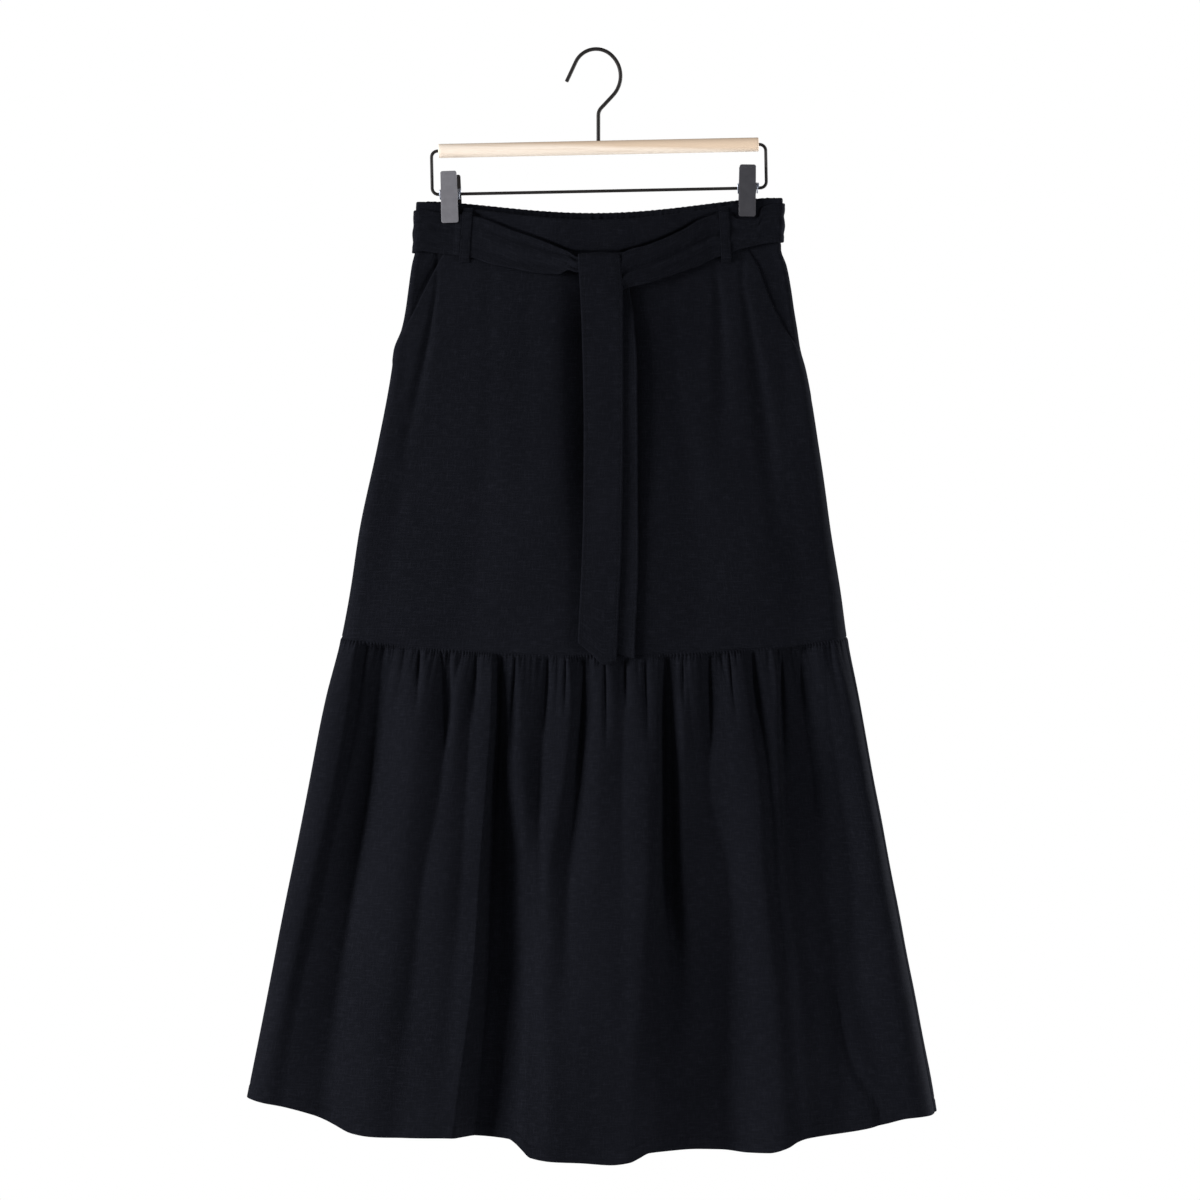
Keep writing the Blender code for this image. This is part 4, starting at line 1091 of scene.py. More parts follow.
@dataclass(frozen=True)
class Waistband:
    """The flat doubled front waistband and the elastic back one."""

    wall: float = 0.0022
    proud: float = 0.0005
    end: float = 0.0008
    front_columns: int = 320
    back_columns: int = 640
    cut_width: float = 0.372
    back_cut_width: float = 0.520
    ruching: Gathering = Gathering(31, 82, 0.0013, 0.0017, 10.0, 10.0, 0.0)
    ruffle: float = 0.0003
    back_higher: float = 0.0010
    front_lower: float = 0.0028
    dent: float = 0.0042
    rumple: Rumple = Rumple(11, 0.00022)
    rows: Rows = (
        rows_at(0.0, 0.0, 0.0005, 0.0014, 0.0030)
        + even_rows(0.10, 0.90, 40)
        + rows_at(1.0, -0.0034, -0.0018, -0.0008, 0.0)
    )

    def build(self) -> None:
        """Make both waistbands and sew the back one's casing."""
        foot, columns = BAND_FOOT.down, self.front_columns
        lay = lay_rows(self.rows, self.front_top, foot, self.end, 1.0 - self.end, columns)
        lift = self.proud + self.rumple.lift(lay) + self.rounded(lay, self.front_top)
        lift += side_groove(lay, 0.0005, 0.0012) - self.dent_under_sash(lay)
        front = cloth_shell("front_waistband_cloth", "waistband_front", lay, lift, self.wall, self.cut_width)

        columns = self.back_columns
        lay = lay_rows(self.rows, self.ruffled_top, foot, 1.0 + self.end, 2.0 - self.end, columns)
        lift = self.back_lift(lay) + side_groove(lay, 0.0005, 0.0012)
        back = cloth_shell(
            "back_waistband_cloth", "waistband_back", lay, lift, self.wall, self.back_cut_width
        )
        casing = self.sew_casing()

    def rounded(self, lay: Lay, edge: LineDown) -> Array:
        """How far the folded top edge and the lower seam turn in."""
        top = turned_in(lay.down - edge(lay.around), 0.0004, 0.0014)
        return top + turned_in(BAND_FOOT.down(lay.around) - lay.down, 0.0005, 0.0016)

    def front_top(self, around: Array) -> Array:
        """The front band's top edge, which hangs lower between the clips."""
        near_side = np.minimum(around, 1.0 - around)
        return BAND_TOP.down(around) + self.front_lower * ease((near_side - 0.02) / 0.16)

    def dent_under_sash(self, lay: Lay) -> Array:
        """How far the tied sash presses the band in along its upper edge."""
        downs, places = zip(*SASH_UPPER_EDGE)
        depth = self.dent * (0.35 + 0.65 * bump(lay.x, 0.075))
        inside = ease((0.128 - np.abs(lay.x)) / 0.008)
        return depth * inside * bump(lay.down - smooth_read(lay.x, places, downs), 0.0017)

    def ruffled_top(self, around: Array) -> Array:
        """The back band's top edge, which the elastic ruffles a little."""
        ripple = np.sin(math.tau * 61.0 * around) + 0.6 * np.sin(math.tau * 97.0 * around + 1.0)
        inside = ease(np.minimum(around - 1.0, 2.0 - around) / 0.05)
        return BAND_TOP.down(around) + self.ruffle * ripple * 0.6 - self.back_higher * inside

    def back_lift(self, lay: Lay) -> Array:
        """How far out the elastic band's face lies."""
        gathers = self.ruching.lift(lay, np.zeros_like(lay.down))
        gathers = gathers * (0.35 + 0.65 * ease((lay.down - self.ruffled_top(lay.around)) / 0.008))
        return self.proud + 0.0003 + gathers + self.rounded(lay, self.ruffled_top)

    def sew_casing(self) -> Piece:
        """Sew the two lines that hold the elastic, near the band's edges."""
        lines = []
        around = np.linspace(1.0 + 6 * self.end, 2.0 - 6 * self.end, 900)[None, :]
        for share in (0.10, 0.90):
            lay = FORM.lay(around, mix(self.ruffled_top(around), BAND_FOOT.down(around), share))
            lines.append((lay.points(self.back_lift(lay) + 0.0001)[0], lay.facing()[0]))
        return STITCHING.sew("back_waistband_cloth", lines)


# --- panels
@dataclass(frozen=True)
class Pocket:
    """One slanted pocket: where its mouth cuts the front panel, and its facing's foot."""

    name: str
    from_left: bool
    mouth: Table  # down and x
    foot: float
    gape: float  # how far the mouth's edge stands off the facing
    dip: float  # how far the facing sinks beside the mouth
    rest: float = 0.0004
    settle_steps: int = 6

    @property
    def rest_around(self) -> float:
        """The around value of the side seam."""
        return self.rest if self.from_left else 1.0 - self.rest

    def edge(self, rows: Rows) -> Array:
        """Find where the mouth, or the side seam below it, crosses a panel's rows.

        Args:
            rows: The rows between the waistband and the tier.

        Returns:
            The around value of the crossing on each row.
        """
        shares, offsets = np.array(rows).T

        def down_at(around: Array) -> Array:
            """How far down each row is at an around value."""
            return mix(BAND_FOOT.down(around), TIER_SEAM.down(around), shares) + offsets

        rest = np.full(len(rows), self.rest_around)
        around = np.full(len(rows), 0.1 if self.from_left else 0.9)
        for _ in range(self.settle_steps):
            down = down_at(around)
            around = FORM.around_at(read_table(down, self.mouth)[0], down)
        around = np.maximum(around, rest) if self.from_left else np.minimum(around, rest)
        return np.where(down_at(rest) > self.mouth[-1][0], rest, around)


POCKETS = (
    Pocket(
        "left", True,
        ((0.1980, -0.1480), (0.2105, -0.1548), (0.2400, -0.1700), (0.2697, -0.1850), (0.2900, -0.1990)),
        0.30, 0.0005, 0.0030,
    ),
    Pocket(
        "right", False,
        ((0.1980, 0.1522), (0.2190, 0.1634), (0.2455, 0.1732), (0.2780, 0.1886), (0.3155, 0.2150)),
        0.40, 0.0003, 0.0,
    ),
)

PANEL_FRONT_CREASES = (
    Crease((
        (0.205, 0.0100, 0.0360, 0.0240, 0.0020),
        (0.240, 0.0100, 0.0360, 0.0250, 0.0090),
        (0.290, 0.0100, 0.0350, 0.0260, 0.0150),
        (0.380, 0.0100, 0.0340, 0.0260, 0.0150),
        (0.460, 0.0110, 0.0330, 0.0250, 0.0090),
        (0.530, 0.0120, 0.0330, 0.0240, 0.0040),
        (0.600, 0.0120, 0.0330, 0.0240, 0.0015),
    ), 2.2),
    falling(0.330, -0.105, 0.640, -0.132, 0.022, 0.0016, 0.004, 2.0),
    falling(0.215, 0.120, 0.420, 0.131, 0.011, 0.0026, 0.002, 2.0),
    falling(0.235, 0.147, 0.520, 0.190, 0.011, 0.0036, 0.001, 2.0),
    falling(0.330, 0.080, 0.640, 0.112, 0.024, 0.0018, 0.004, 2.0),
    falling(0.235, -0.158, 0.420, -0.192, 0.0065, 0.0034, 0.001, 1.8),
    falling(0.230, -0.060, 0.560, -0.072, 0.026, 0.0010, -0.004, 2.0),
    falling(0.420, 0.190, 0.640, 0.214, 0.018, 0.0014, 0.002, 2.0),
    falling(0.420, -0.190, 0.640, -0.222, 0.018, 0.0012, -0.002, 2.0),
)
PANEL_BACK_CREASES = (
    falling(0.220, -0.150, 0.560, -0.188, 0.012, 0.0022, 0.003),
    falling(0.215, -0.108, 0.700, -0.150, 0.016, 0.0028, -0.004),
    falling(0.225, -0.070, 0.480, -0.086, 0.010, 0.0018, 0.002),
    falling(0.230, -0.034, 0.720, -0.052, 0.018, 0.0024, 0.004),
    falling(0.225, 0.012, 0.440, 0.018, 0.010, 0.0020, -0.002),
    falling(0.225, 0.050, 0.700, 0.072, 0.017, 0.0028, -0.005),
    falling(0.220, 0.088, 0.500, 0.108, 0.010, 0.0018, 0.002),
    falling(0.215, 0.124, 0.720, 0.162, 0.016, 0.0026, 0.003),
    falling(0.220, 0.158, 0.460, 0.186, 0.009, 0.0016, -0.002),
)


@dataclass(frozen=True)
class Panels:
    """The two upper panels and the pocket facings behind the front one's slanted mouths."""

    wall: float = 0.0012
    seam: float = 0.0003
    columns: int = 300
    back_columns: int = 480
    cut_width: float = 0.470
    back_cut_width: float = 0.560
    behind_band: float = 0.0024
    gathers: Gathering = Gathering(31, 82, 0.0013, 0.0017, 0.045, 0.060, 0.004)
    rumple: Rumple = Rumple(21, 0.00042)
    facing_set_in: float = 0.0014
    dip_down: float = 0.228
    facing_underlap: float = 0.045
    facing_columns: int = 90
    top_rows: Rows = rows_at(0.0, -0.0080, -0.0030, -0.0008, 0.0004, 0.0014, 0.0026, 0.0045, 0.0075)
    foot_rows: Rows = rows_at(1.0, -0.0060, -0.0035, -0.0020, -0.0010, -0.0004, 0.0)

    def lay(self, rows: Rows, start: float | Array, stop: float | Array, columns: int) -> tuple[Lay, Array]:
        """Lay rows between the band and the tier, and say how far each point lies below the band."""
        lay = lay_rows(rows, BAND_FOOT.down, TIER_SEAM.down, start, stop, columns)
        return lay, lay.down - BAND_FOOT.down(lay.around)

    def rows(self, fine: int, coarse: int) -> Rows:
        """The panel's rows, closer beside the pockets than below them."""
        middle = even_rows(0.03, 0.34, fine) + even_rows(0.36, 0.975, coarse)
        return self.top_rows + middle + self.foot_rows

    def seams(self, lay: Lay, fall: Array) -> Array:
        """How far the cloth turns in behind the waistband and at the tier's seam."""
        rest = TIER_SEAM.down(lay.around) - lay.down
        return turned_in(fall + 0.0006, self.behind_band, 0.0030) + turned_in(rest, 0.0010, 0.0022)

    def build(self) -> None:
        """Make the panels and the pocket facings."""
        rows = self.rows(46, 34)
        lay, fall = self.lay(rows, *(pocket.edge(rows) for pocket in POCKETS), self.columns)
        lift = self.front_lift(lay, fall)
        front = cloth_shell("front_panel_cloth", "panel_front", lay, lift, self.wall, self.cut_width)

        lay, fall = self.lay(self.rows(30, 26), 1.0 + self.seam, 2.0 - self.seam, self.back_columns)
        lift = self.gathers.lift(lay, fall) * ease(fall / 0.004) + self.rumple.lift(lay)
        lift += self.seams(lay, fall)
        lift += sum(crease.lift(lay) for crease in PANEL_BACK_CREASES) * ease(fall / 0.02)
        lift += side_groove(lay, 0.0008, 0.0014)
        back = cloth_shell("back_panel_cloth", "panel_back", lay, lift, self.wall, self.back_cut_width)
        for pocket in POCKETS:
            self.build_facing(pocket)

    def front_lift(self, lay: Lay, fall: Array) -> Array:
        """How far out the front panel's face lies: its creases, seams and pocket mouths."""
        lift = self.rumple.lift(lay) * ease(fall / 0.03) + self.seams(lay, fall)
        lift += sum(crease.lift(lay) for crease in PANEL_FRONT_CREASES)
        for pocket, distance in zip(POCKETS, lay.from_ends()):
            beside = ease((pocket.mouth[-1][0] - lay.down) / 0.03) * ease(fall / 0.02)
            lift += beside * pocket.gape * bump(distance, 0.016)
            lift -= (1.0 - beside) * 0.0008 * bump(distance, 0.0014)
        return lift

    def build_facing(self, pocket: Pocket) -> None:
        """Make the facing that shows behind a pocket's mouth.

        Args:
            pocket: The pocket that it belongs to.
        """
        rows = self.top_rows + even_rows(0.03, pocket.foot, 30)
        mouth = pocket.edge(rows)
        if pocket.from_left:
            start, stop = pocket.rest_around, mouth + self.facing_underlap
        else:
            start, stop = mouth - self.facing_underlap, pocket.rest_around
        lay, fall = self.lay(rows, start, stop, self.facing_columns)
        creases = sum(crease.lift(lay) for crease in PANEL_FRONT_CREASES)
        lift = np.minimum(creases, 0.0) + 0.3 * self.rumple.lift(lay)
        inside = ease(np.abs(lay.around - pocket.rest_around) * lay.length / 0.016)
        from_mouth = np.abs(lay.around - mouth[:, None]) * lay.length
        lift -= self.facing_set_in * inside
        lift -= pocket.dip * bump(from_mouth, 0.007) * bump(lay.down - self.dip_down, 0.026) * inside
        lift += turned_in(fall + 0.0006, 0.0006, 0.0030)
        name, node = f"{pocket.name}_pocket_facing_cloth", f"pocket_facing_{pocket.name}"
        facing = cloth_shell(name, node, lay, lift, self.wall, self.cut_width)


# --- tier
# X and lift of each fold line, in millimetres, at the tier's levels; a minus lift is a valley.
TIER_FRONT_FOLDS = {
    "left_side": ((-240, -245, -260, -282, -303, -324, -331), (1, 4, 5, 6, 5, 4, 3)),
    "left_shelf": ((-229, -237, -250, -270, -294, -312, -318), (-5, -6, -4, -2, -2, -1, -1)),
    "left_valley": ((-212, -217, -225, -240, -254, -266, -272), (-10, -14, -18, -16, -13, -10, -8)),
    "left_crest": ((-169, -172, -181, -190, -202, -216, -224), (1, 4, 6, 7, 5, 4, 3)),
    "second_valley": ((-155, -147, -153, -170, -180, -191, -198), (-3, -6, -3, 1, -1, 0, 0)),
    "second_crest": ((-140, -138, -141, -148, -156, -165, -171), (0, 0, 0, 5, 3.5, 3, 3)),
    "third_valley": ((-118, -123, -127, -132, -139, -147, -152), (-3, -4, -3, 2, 2, 2, 2)),
    "third_crest": ((-103, -102, -106.5, -112.5, -117, -128, -136), (2, 3, 4, 6, 6, 5, 4)),
    "deep_left_valley": ((-98, -97.5, -101.5, -108, -113, -122.5, -129), (-6, -14, -23, -27, -28, -26, -23)),
    "deep_left_floor": ((-90, -91, -92.5, -94, -95, -101, -106), (-2, -8, -17, -24, -26, -25, -22)),
    "deep_left_slope": ((-80, -80, -85, -80, -78, -82, -84), (0, -3, -8, -18, -19, -17, -14)),
    "deep_left_bank": ((-73, -74, -72, -66, -60, -58, -58), (1, 1, 1, -7, -5, -3, -2)),
    "fourth_valley": ((-47, -50, -55, -54, -52, -50, -49), (-3, -4, -7, -2, 1, 3, 4)),
    "fourth_crest": ((-28, -25, -32, -46, -43, -42, -41), (1.5, 3, 3.5, 3, 3, 5, 6)),
    "middle_valley": ((-11, -12, -19, -27, -29, -29, -29), (-4, -8, -10, -3, 2, 5, 6.5)),
    "middle_crest": ((9, 7, 5, 3, 3, 3, 3), (1.5, 2, 3, 5, 6, 7, 8)),
    "middle_dip": ((28, 30, 27, 27, 27, 25, 22), (-2, -0.5, 1, 5, 7.5, 8.5, 9)),
    "great_crest": ((48, 52, 50, 50, 44, 38, 34), (1.5, 3, 7, 9.5, 10.5, 10, 9.5)),
    "great_edge": ((63, 62, 61.5, 58, 54, 48, 44), (0.5, 2, 4, 6, 7, 7, 7)),
    "deep_right_valley": ((69, 68, 68, 67, 72, 76, 78), (-6, -15, -22, -22, -10, -3, -1)),
    "deep_right_floor": ((76, 75, 77, 79, 84, 92, 94), (-3, -9, -18, -20, -13, -8, -6)),
    "deep_right_wall": ((92, 88, 88, 90, 106, 112, 112), (1, 1, -3, -6, -11, -12, -10)),
    "right_dip": ((114, 115, 114, 134, 138, 136, 137), (-4, -7, -6, -9, -16, -19, -17)),
    "right_crest": ((147, 152, 160, 166, 177, 185, 190), (2, 4, 8, 6, 2, 1, 1)),
    "right_nook": ((157, 161, 171, 177, 188, 196, 202), (-3, -5, 0, -1, -4, -4, -4)),
    "right_shoulder": ((177, 181, 182, 188, 201, 208, 214), (1.5, 3, 2.5, 0, -3, -3, -3)),
    "right_shelf": ((181, 185, 187, 196, 212, 219, 225), (-4, -7, -8, -5.5, -8, -6, -6)),
    "right_valley": ((205, 208, 218, 228, 242, 247, 250), (-7, -13, -14.5, -14.5, -15.5, -10, -9)),
    "right_bank": ((228, 232, 243, 256, 260, 285, 292), (0, -2, -6.5, -9, -12, -3, -3)),
    "right_side": ((247, 256, 269, 285, 301, 322, 332), (1, 6, 8, 7, 6, 4, 3)),
}
# Short pleats from left to right: down and x of their tops and of their feet, half width and depth.
SHORT_PLEATS = (
    (0.600, -0.1745, 0.660, -0.1765, 0.0034, 0.0040),
    (0.600, -0.1540, 0.705, -0.1480, 0.0036, 0.0042),
    (0.601, -0.1450, 0.690, -0.1450, 0.0034, 0.0040),
    (0.601, -0.1180, 0.675, -0.1210, 0.0034, 0.0036),
    (0.602, -0.0790, 0.700, -0.0850, 0.0034, 0.0042),
    (0.604, -0.0460, 0.690, -0.0510, 0.0038, 0.0038),
    (0.604, -0.0290, 0.665, -0.0300, 0.0030, 0.0036),
    (0.604, -0.0108, 0.745, -0.0165, 0.0036, 0.0050),
    (0.604, 0.0096, 0.695, 0.0110, 0.0038, 0.0046),
    (0.604, 0.0300, 0.660, 0.0315, 0.0032, 0.0038),
    (0.604, 0.0484, 0.690, 0.0525, 0.0034, 0.0038),
    (0.604, 0.0866, 0.660, 0.0880, 0.0032, 0.0040),
    (0.603, 0.1140, 0.705, 0.1150, 0.0036, 0.0048),
    (0.602, 0.1328, 0.670, 0.1400, 0.0034, 0.0040),
    (0.601, 0.1560, 0.690, 0.1615, 0.0034, 0.0038),
    (0.600, 0.1860, 0.710, 0.1876, 0.0038, 0.0048),
)
TIER_FRONT_CREASES = (
    *(falling(*pleat, 0.0, 1.3) for pleat in SHORT_PLEATS),
    Crease((
        (0.602, 0.2071, 0.0024, 0.0030, 0.0026),
        (0.633, 0.2082, 0.0030, 0.0030, 0.0026),
        (0.691, 0.2198, 0.0030, 0.0060, 0.0012),
        (0.761, 0.2290, 0.0040, 0.0080, 0.0004),
        (0.831, 0.2358, 0.0050, 0.0080, 0.0004),
        (0.878, 0.2406, 0.0070, 0.0090, 0.0000),
    ), 1.4),
    Crease((
        (0.922, 0.2355, 0.0050, 0.0050, 0.0000),
        (0.956, 0.2423, 0.0040, 0.0050, 0.0026),
        (1.003, 0.2531, 0.0040, 0.0060, 0.0034),
        (1.028, 0.2650, 0.0040, 0.0070, 0.0034),
        (1.043, 0.2740, 0.0040, 0.0070, 0.0030),
        (1.053, 0.2819, 0.0040, 0.0070, 0.0026),
    ), 1.4),
)
TIER_BACK_CREASES = (
    falling(0.597, -0.148, 0.780, -0.160, 0.008, 0.0032, -0.002, 1.3),
    falling(0.596, -0.064, 0.840, -0.082, 0.008, 0.0036, -0.003, 1.3),
    falling(0.596, -0.018, 0.720, -0.026, 0.006, 0.0036, 0.001, 1.3),
    falling(0.597, 0.070, 0.850, 0.088, 0.009, 0.0036, 0.003, 1.3),
    falling(0.598, 0.118, 0.740, 0.128, 0.007, 0.0036, 0.001, 1.3),
)


@dataclass(frozen=True)
class TierSide:
    """The front or the back piece of the tier: its folds, creases and gathers, and its ends."""

    side: str
    start: float
    stop: float
    columns: int
    folds: tuple[Drapery | Crease, ...]
    gathers: tuple[Gathering, ...]


TIER_SEAM_GAP = 0.00004
TIER_RIGHT_SEAM = 0.985
TIER_SIDES = (
    TierSide(
        "front", TIER_SEAM_GAP, TIER_RIGHT_SEAM - TIER_SEAM_GAP, 760,
        (Drapery(TIER_FRONT_FOLDS), *TIER_FRONT_CREASES),
        (Gathering(5, 84, 0.0022, 0.0019, 0.030), Gathering(9, 26, 0.0022, 0.0036, 0.110, 0.060, 0.010)),
    ),
    TierSide(
        "back", TIER_RIGHT_SEAM + TIER_SEAM_GAP, 2.0 - TIER_SEAM_GAP, 720,
        (Drapery(uneven_folds(72, 27, (-240.0, 238.0), (-330.0, 326.0), 15.0)), *TIER_BACK_CREASES),
        (Gathering(6, 84, 0.0024, 0.0019, 0.034), Gathering(10, 30, 0.0026, 0.0036, 0.120, 0.060, 0.010)),
    ),
)


@dataclass(frozen=True)
class Tier:
    """The gathered lower tier, in two pieces, with its turned-up hem."""

    wall: float = 0.0012
    cut_width: float = 0.780
    hem_deep: float = 0.0130
    hem_sewn: float = 0.0122
    allowance_deep: float = 0.0008
    puckers: Puckers = Puckers(0.0040, 0.0008, 0.0066)
    rumple: Rumple = Rumple(41, 0.0011)
    rows: Rows = (
        rows_at(
            0.0, -0.0060, -0.0025, -0.0006, 0.0004, 0.0012, 0.0022, 0.0034, 0.0048, 0.0064, 0.0083,
            0.0107, 0.0137, 0.0175, 0.0220, 0.0275, 0.0340, 0.0415,
        )
        + even_rows(0.105, 0.930, 40)
        + rows_at(
            1.0, -0.0240, -0.0175, -0.0145, -0.0132, -0.0124, -0.0117, -0.0105, -0.0070, -0.0030,
            -0.0010, -0.0003, 0.0,
        )
    )

    def build(self) -> None:
        """Make both pieces of the tier and sew their hems."""
        for half in TIER_SIDES:
            name = f"{half.side}_tier_cloth"
            lay = lay_rows(self.rows, TIER_SEAM.down, HEM.down, half.start, half.stop, half.columns)
            lift = self.lift(lay, half) + side_groove(lay, 0.0012, 0.0016)
            wall = self.wall * (1.0 + 0.9 * (HEM.down(lay.around) - lay.down < self.hem_deep))
            piece = cloth_shell(name, f"tier_{half.side}", lay, lift, wall, self.cut_width)
            around = np.linspace(half.start + 4 * TIER_SEAM_GAP, half.stop - 4 * TIER_SEAM_GAP, 2400)[None, :]
            lay = FORM.lay(around, HEM.down(around) - self.hem_sewn)
            line = lay.points(self.lift(lay, half) + 0.0001)[0]
            sewing = STITCHING.sew(f"{half.side}_hem", [(line, lay.facing()[0])])

    def lift(self, lay: Lay, half: TierSide) -> Array:
        """Add up the folds, gathers, puckers and hem of one piece of the tier.

        Args:
            lay: Points on the smooth cloth.
            half: The piece that they lie on.

        Returns:
            How far out its face lies at each point.
        """
        fall = lay.down - TIER_SEAM.down(lay.around)
        inside = ease(np.minimum(*lay.from_ends()) / 0.018)
        lift = sum(fold.lift(lay) for fold in half.folds)
        lift += sum(gather.lift(lay, fall) for gather in half.gathers)
        lift = lift * ease(fall / 0.005) * inside
        lift += self.puckers.lift(lay, fall) * ease(fall / 0.0006)
        lift += self.rumple.lift(lay) * ease(fall / 0.15) * inside
        lift += turned_in(fall + 0.0004, self.allowance_deep, 0.0022)
        above_hem = HEM.down(lay.around) - lay.down
        lift += 0.0003 * (1.0 - ease((above_hem - self.hem_sewn) / 0.001))
        return lift - 0.0006 * bump(above_hem - self.hem_sewn, 0.0009)


# --- sash
SASH_LIFT = 0.0009
BACK_LIFT = 0.0017
# Around or x of each place, the downs of the sash's two edges there, and its lift.
LEFT_WRAP = (
    (-0.130, 0.1625, 0.2045, BACK_LIFT),
    (-0.080, 0.1622, 0.2043, BACK_LIFT),
    (-0.030, 0.1618, 0.2038, BACK_LIFT),
    (-0.005, 0.1612, 0.2035, BACK_LIFT),
    (0.000, 0.1612, 0.2035, SASH_LIFT),
    (0.017, 0.1610, 0.2030, SASH_LIFT),
    (0.030, 0.1608, 0.2025, SASH_LIFT),
    (0.068, 0.1630, 0.2045, SASH_LIFT),
    (0.108, 0.1642, 0.2060, 0.0012),
    (0.126, 0.1652, 0.2070, 0.0026),
    (0.139, 0.1661, 0.2079, SASH_LIFT),
)
RIGHT_WRAP = (
    (0.840, 0.1656, 0.2072, SASH_LIFT),
    (0.855, 0.1660, 0.2050, SASH_LIFT),
    (0.869, 0.1692, 0.2020, SASH_LIFT),
    (0.888, 0.1705, 0.2000, SASH_LIFT),
    (0.907, 0.1703, 0.1980, SASH_LIFT),
    (0.926, 0.1697, 0.1965, SASH_LIFT),
    (0.938, 0.1590, 0.1955, SASH_LIFT),
    (0.960, 0.1555, 0.1940, SASH_LIFT),
    (0.983, 0.1545, 0.1930, SASH_LIFT),
    (1.000, 0.1540, 0.1928, SASH_LIFT),
    (1.005, 0.1540, 0.1928, BACK_LIFT),
    (1.017, 0.1541, 0.1930, BACK_LIFT),
    (1.030, 0.1545, 0.1935, BACK_LIFT),
    (1.080, 0.1570, 0.1965, BACK_LIFT),
    (1.130, 0.1590, 0.1990, BACK_LIFT),
)
BACK_WRAP = (
    (1.131, 0.1590, 0.1990, BACK_LIFT),
    (1.220, 0.1635, 0.2045, BACK_LIFT),
    (1.320, 0.1700, 0.2110, BACK_LIFT),
    (1.500, 0.1740, 0.2155, BACK_LIFT),
    (1.680, 0.1700, 0.2115, BACK_LIFT),
    (1.780, 0.1655, 0.2070, BACK_LIFT),
    (1.869, 0.1625, 0.2045, BACK_LIFT),
)
LEFT_STRETCH = (
    (-0.1286, 0.1662, 0.2080, SASH_LIFT),
    (-0.1195, 0.1675, 0.2100, SASH_LIFT),
    (-0.1052, 0.1720, 0.2150, 0.0018),
    (-0.0852, 0.1805, 0.2195, 0.0028),
    (-0.0552, 0.1915, 0.2255, 0.0036),
    (-0.0352, 0.2000, 0.2266, 0.0042),
    (-0.0262, 0.2038, 0.2226, 0.0046),
    (-0.0180, 0.2090, 0.2250, 0.0050),
    (0.0020, 0.2104, 0.2250, 0.0055),
)
RIGHT_STRETCH = (
    (0.0040, 0.2104, 0.2470, 0.0060),
    (0.0252, 0.2102, 0.2440, 0.0060),
    (0.0275, 0.2055, 0.2425, 0.0060),
    (0.0548, 0.1965, 0.2350, 0.0058),
    (0.0848, 0.1832, 0.2243, 0.0040),
    (0.1048, 0.1715, 0.2170, 0.0022),
    (0.1205, 0.1660, 0.2090, SASH_LIFT),
    (0.1290, 0.1656, 0.2074, SASH_LIFT),
)


def crowded(count: int, strength: float = 0.75) -> Array:
    """Shares from 0 to 1 that lie closer together near both ends."""
    even = np.linspace(0.0, 1.0, count)
    return mix(even, 0.5 - 0.5 * np.cos(math.pi * even), strength)


@dataclass(frozen=True)
class SashCloth:
    """How the doubled sash is made: its thickness, its rounded edges and its edge stitching."""

    wall: float = 0.0018
    across: int = 26
    edge: float = 0.12  # thickness at the folded edges, as a share of the wall
    sewn: float = 0.0032  # the stitching lies this far inside each edge

    def swell(self, share: Array) -> Array:
        """Half the sash's thickness across its width, rounded at its folded edges."""
        flat = np.sqrt(np.maximum(1.0 - np.abs(2.0 * share - 1.0) ** 22, 0.0))
        return self.wall / 2 * np.maximum(flat, self.edge)

    def groove(self, share: Array, width: Array) -> Array:
        """How far the stitching pulls the cloth in."""
        return -0.00028 * bump(np.minimum(share, 1.0 - share) * width - self.sewn, 0.0008)


SASH = SashCloth()


@dataclass(frozen=True)
class Pleat:
    """A soft fold that runs lengthwise, from one end's share of the sash's width to the other's."""

    start: float
    stop: float
    width: float
    height: float
    fade: float = 0.0  # share of the length over which it dies towards the start


@dataclass(frozen=True)
class SashStretch:
    """One stretch of the sash round the waist, between two loops or from a loop to the knot."""

    name: str
    node: str
    stations: Table
    step: float
    by_x: bool
    pleats: tuple[Pleat, ...]
    rumple: Rumple
    rests_on: tuple[str, ...]
    flat: tuple[float, float]

    def at(self, places: Array, shares: Array) -> tuple[Lay, Array, Array]:
        """Lay points of the sash's middle layer.

        Args:
            places: Where they lie along the sash.
            shares: Where they lie across it, from its top edge.

        Returns:
            The laid points, the lift of the sash's middle, and its width there.
        """
        top, foot, base = read_table(places, self.stations)
        down = mix(top, foot, shares)
        lay = FORM.lay_at(places, down) if self.by_x else FORM.lay(places, down)
        lift = base + SASH.wall / 2 + 0.0001
        first, last = self.stations[0][0], self.stations[-1][0]
        along = (places - first) / (last - first)
        for pleat in self.pleats:
            strength = ease(along / pleat.fade) if pleat.fade else 1.0
            middle = mix(pleat.start, pleat.stop, along)
            lift = lift + pleat.height * strength * bump(shares - middle, pleat.width)
        return lay, lift + self.rumple.lift(lay), foot - top

    def build(self) -> None:
        """Make the stretch and sew its two edges."""
        first, last = self.stations[0][0], self.stations[-1][0]
        places = np.linspace(first, last, max(int((last - first) / self.step), 8))[None, :]
        places, shares = np.broadcast_arrays(places, crowded(SASH.across)[:, None])
        lay, middle, width = self.at(places, shares)
        half = SASH.swell(shares)
        outer = lay.points(middle + half + SASH.groove(shares, width))
        cut = np.stack((lay.run, shares * width), -1)
        piece = sew_shell(self.name, self.node, outer, lay.points(middle - half), cut)

        lines = []
        places = np.linspace(first, last, 400)[None, :]
        middle_width = self.at(places, np.full_like(places, 0.5))[2]
        for inset in (SASH.sewn, -SASH.sewn):
            shares = np.mod(inset / middle_width, 1.0)
            lay, middle, _ = self.at(places, shares)
            lines.append((lay.points(middle + SASH.swell(shares) - 0.00012)[0], lay.facing()[0]))
        sewing = STITCHING.sew(self.name, lines)
        list(self.rests_on)


